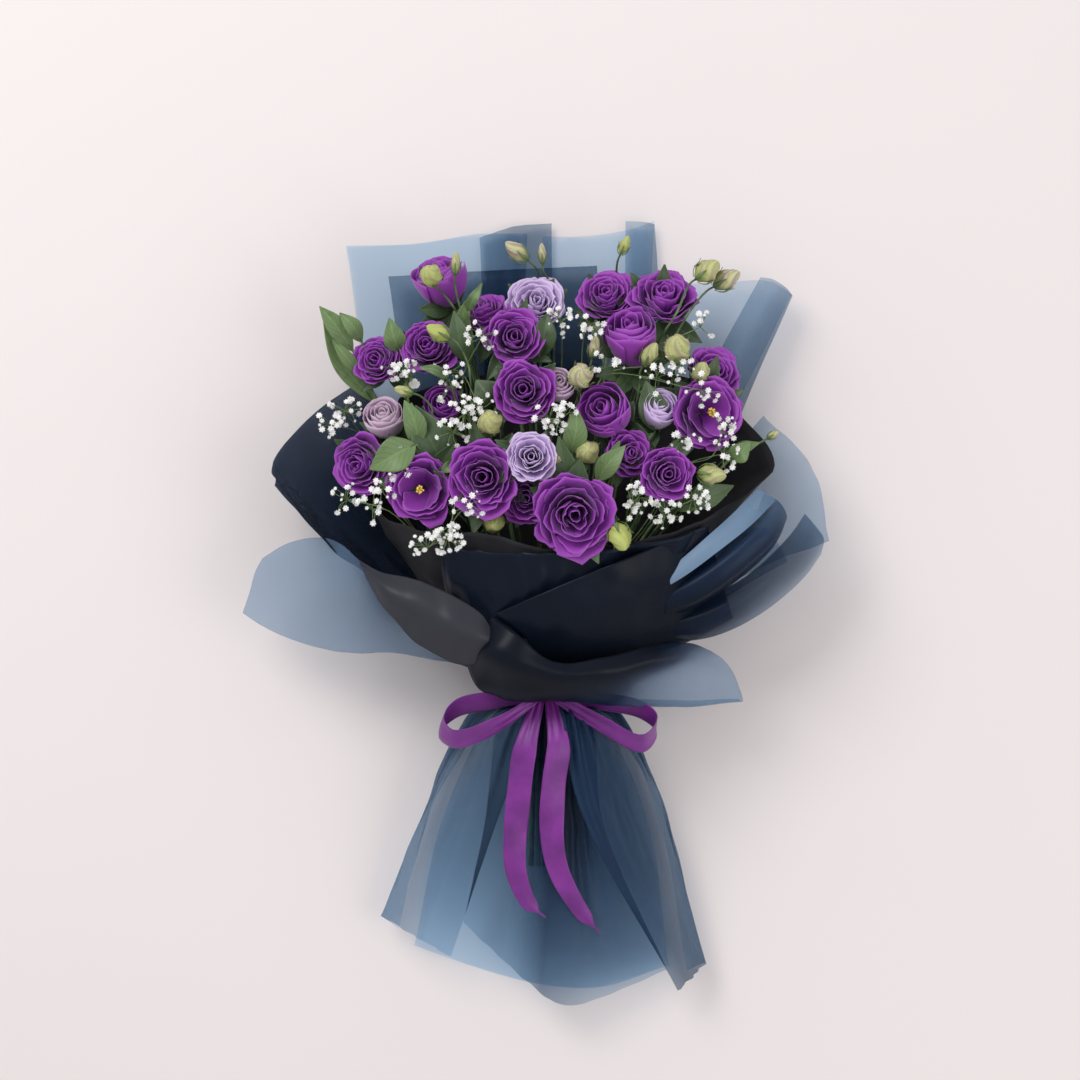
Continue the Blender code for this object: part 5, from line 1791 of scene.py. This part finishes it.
@dataclass
class SatinRibbon:
    """The satin ribbon: a band round the neck, a knot, two loops and two tails, tied from one length."""

    finishes: Finishes
    width: float = RIBBON_WIDTH
    thickness: float = 0.5

    def strip(self, name: str, route: tuple, width: float, pinch: float, rows: int = 48) -> bpy.types.Object:
        """A length of ribbon along a route of (place, direction of its width), gathered where it leaves the knot."""
        path = [Vector(place) for place, _ in route]
        lean = [Vector(direction).normalized() for _, direction in route]
        spans = len(route) - 1
        phase = len(name)

        def shape(u: np.ndarray, v: np.ndarray) -> np.ndarray:
            """The ribbon's places."""
            places = []
            for across, along in zip(u, v):
                ends = min(along, 1 - along) if name.startswith("loop") else along
                narrowed = 1.0 if name.startswith("loop") else float(np.interp(along, *TAIL_TAPER))
                open_share = pinch + (1 - pinch) * min(1.0, ends * 5) ** 0.7
                point = on_curve(path, spans * along)
                way = on_curve(lean, spans * along).normalized()
                tangent = on_curve(path, min(spans * along + 0.02, spans)) - on_curve(path, max(spans * along - 0.02, 0))
                out = way.cross(tangent).normalized()
                place = point + way * across * width / 2 * open_share * narrowed
                fold = (1 - open_share) * 2.2 * math.sin(across * 7.5 + phase)
                sway = 0.9 * noise.noise(Vector((across * 0.8, along * 5, phase)))
                place += out * (fold + sway + 0.7 * across * across)
                places.append(tuple(in_frame(place)))
            return np.array(places)

        return shaped_grid(name, 14, rows, shape)

    def turned(self, name: str, profile: tuple, place: Vector, wave: float) -> bpy.types.Object:
        """A surface turned round the ribbon's knot or the neck, with shallow folds."""
        def shape(u: np.ndarray, v: np.ndarray) -> np.ndarray:
            """The surface's places."""
            steps = np.linspace(0, 1, len(profile))
            radius = np.interp(v, steps, [p[0] for p in profile])
            height = np.interp(v, steps, [p[1] for p in profile])
            radius = radius + wave * np.sin(v * 19 + np.sin(2 * np.pi * u))
            angle = np.pi * u
            points = np.stack((radius * np.cos(angle), radius * np.sin(angle), height), axis=-1)
            return placed(points, place, Vector((0.0, 1.0, 0.0)))

        return shaped_grid(name, 40, 24, shape)

    def build(self) -> None:
        """Makes the band, the knot, the loops and the tails."""
        band = FIRST_LAYER_RADIUS + LAYER_PITCH * RIBBON_BAND_LAYER
        top = TIE_Z + band + 8
        flat, tilted = (0, 1, 0.25), (0, 0.72, 0.7)
        loop_left = (
            ((-1, 6, top + 5), flat), ((-40, 1, top + 6), tilted), ((-78, -7, top + 4), tilted),
            ((-92, -23, top + 10), (0.2, 0.72, 0.6)), ((-80, -34, top + 18), tilted), ((-42, -22, top + 18), tilted),
            ((-1, 5, top + 4), flat),
        )
        loop_right = (
            ((1, 6, top + 1), flat), ((44, -1, top + 3), tilted), ((84, -9, top + 2), tilted),
            ((98, -22, top + 8), tilted), ((86, -37, top + 14), tilted), ((46, -18, top + 15), tilted),
            ((1, 8, top + 5), flat),
        )
        tail_left = (
            ((-4, 5, top + 1), (1, 0, 0)), ((-17, -39, 111), (1, 0, 0.1)), ((-22, -73, 103), (1, 0, 0.3)),
            ((-26, -118, 90), (1, 0.05, -0.2)), ((-26, -152, 80), (1, 0.1, 0.2)), ((-14, -182, 70), (1, 0.5, 0)),
            ((1, -195, 66), (1, 1, 0)),
        )
        tail_right = (
            ((4, 5, top + 1), (1, 0, 0)), ((12, -39, 111), (1, 0, -0.2)), ((8, -73, 104), (1, 0, -0.3)),
            ((6, -118, 93), (1, 0, 0.2)), ((12, -152, 82), (1, 0.15, 0.1)), ((34, -192, 66), (1, 0.5, 0)),
            ((50, -210, 58), (1, 0.9, 0)),
        )
        parts = [
            self.strip("loop_left", loop_left, 23, 0.25), self.strip("loop_right", loop_right, 23, 0.25),
            self.strip("tail_left", tail_left, self.width, 0.3), self.strip("tail_right", tail_right, self.width, 0.3),
            self.turned("band", ((band + 0.5, -8), (band + 0.8, 0), (band + 0.5, 8)), TIE, 0.15),
            self.turned("knot", ((4.5, -8), (7.5, -6), (8.6, 0), (7.5, 6), (4.5, 8)), Vector((0, TIE_Y - 4, top)), 0.4),
        ]
        bow = joined("satin_ribbon_bow", parts)
        thickened(bow, self.thickness)
        self.finishes.dress(smooth_shaded(bow), "ribbon_satin")
        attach(bow, "root")
        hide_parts("satin_ribbon")


@dataclass
class Studio:
    """The pale floor, the soft lamps and the camera that looks straight down."""

    middle: tuple = (0.0041, 0.0638)
    height: float = 3.5
    lens: float = 128.8
    floor_colour: Triple = (0.86, 0.80, 0.80)

    def floor(self) -> None:
        """A wide pale floor."""
        bpy.ops.object.select_all(action="DESELECT")
        bpy.ops.mesh.primitive_plane_add(size=12.0, location=(0.0, 0.0, -0.0005))
        floor = bpy.context.active_object
        floor.name = "studio_floor"
        made, nodes, shader = new_material("studio_floor")
        grain = nodes.add("ShaderNodeTexNoise", in_Scale=14.0, in_Detail=4.0)
        tone = nodes.ramp(
            grain.outputs["Fac"], (0.3, tuple(c * 0.97 for c in self.floor_colour)), (0.7, self.floor_colour)
        )
        nodes.tree.links.new(tone, shader.inputs["Base Color"])
        shader.inputs["Roughness"].default_value = 0.9
        floor.data.materials.append(made)

    def lamp(self, name: str, place: Triple, size: float, power: float) -> None:
        """A square softbox that faces the bouquet."""
        data = bpy.data.lights.new(name, "AREA")
        data.size = size
        data.energy = power
        lamp = bpy.data.objects.new(name, data)
        lamp.location = place
        lamp.rotation_euler = (Vector((0, 0, 0.1)) - Vector(place)).to_track_quat("-Z", "Y").to_euler()
        bpy.context.scene.collection.objects.link(lamp)

    def camera(self) -> None:
        """The camera above the bouquet."""
        data = bpy.data.cameras.new("camera")
        data.sensor_width = 36.0
        data.lens = self.lens
        data.clip_end = 50.0
        camera = bpy.data.objects.new("camera", data)
        camera.location = (*self.middle, self.height)
        bpy.context.scene.collection.objects.link(camera)
        bpy.context.scene.camera = camera

    def build(self) -> None:
        """Sets up the whole studio."""
        self.floor()
        self.lamp("key", (-1.2, 1.6, 2.2), 1.4, 42.0)
        self.lamp("fill", (1.8, -0.6, 2.0), 1.6, 18.0)
        world = bpy.data.worlds.new("studio")
        world.use_nodes = True
        world.node_tree.nodes["Background"].inputs["Color"].default_value = (1.0, 0.98, 0.98, 1.0)
        world.node_tree.nodes["Background"].inputs["Strength"].default_value = 0.55
        bpy.context.scene.world = world
        bpy.context.scene.view_settings.view_transform = "Standard"
        self.camera()


def main() -> None:
    """Builds the bouquet's looks round its frame."""
    logging.basicConfig(level=logging.INFO)
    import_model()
    bpy.ops.object.select_all(action="DESELECT")
    finishes = Finishes().build()
    Studio().build()
    BindingTwine(finishes).build()
    for name, film in FILMS.items():
        if name in COVER:
            WrappingFilm(name, film, finishes).build()
    for name, patch in PATCHES.items():
        FoldedPatch(name, patch, finishes).build()
    ShownLeaves(finishes).build()
    SatinRibbon(finishes).build()
    for name, spray in SPRAYS.items():
        LeafySpray(name, spray, finishes).build()
    for name, sprig in SPRIGS.items():
        FloretSprig(name, sprig, finishes).build()
    for name, bloom in BLOOMS.items():
        FlowerHead(name, bloom, finishes).build()
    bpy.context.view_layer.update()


if __name__ == "__main__":
    main()
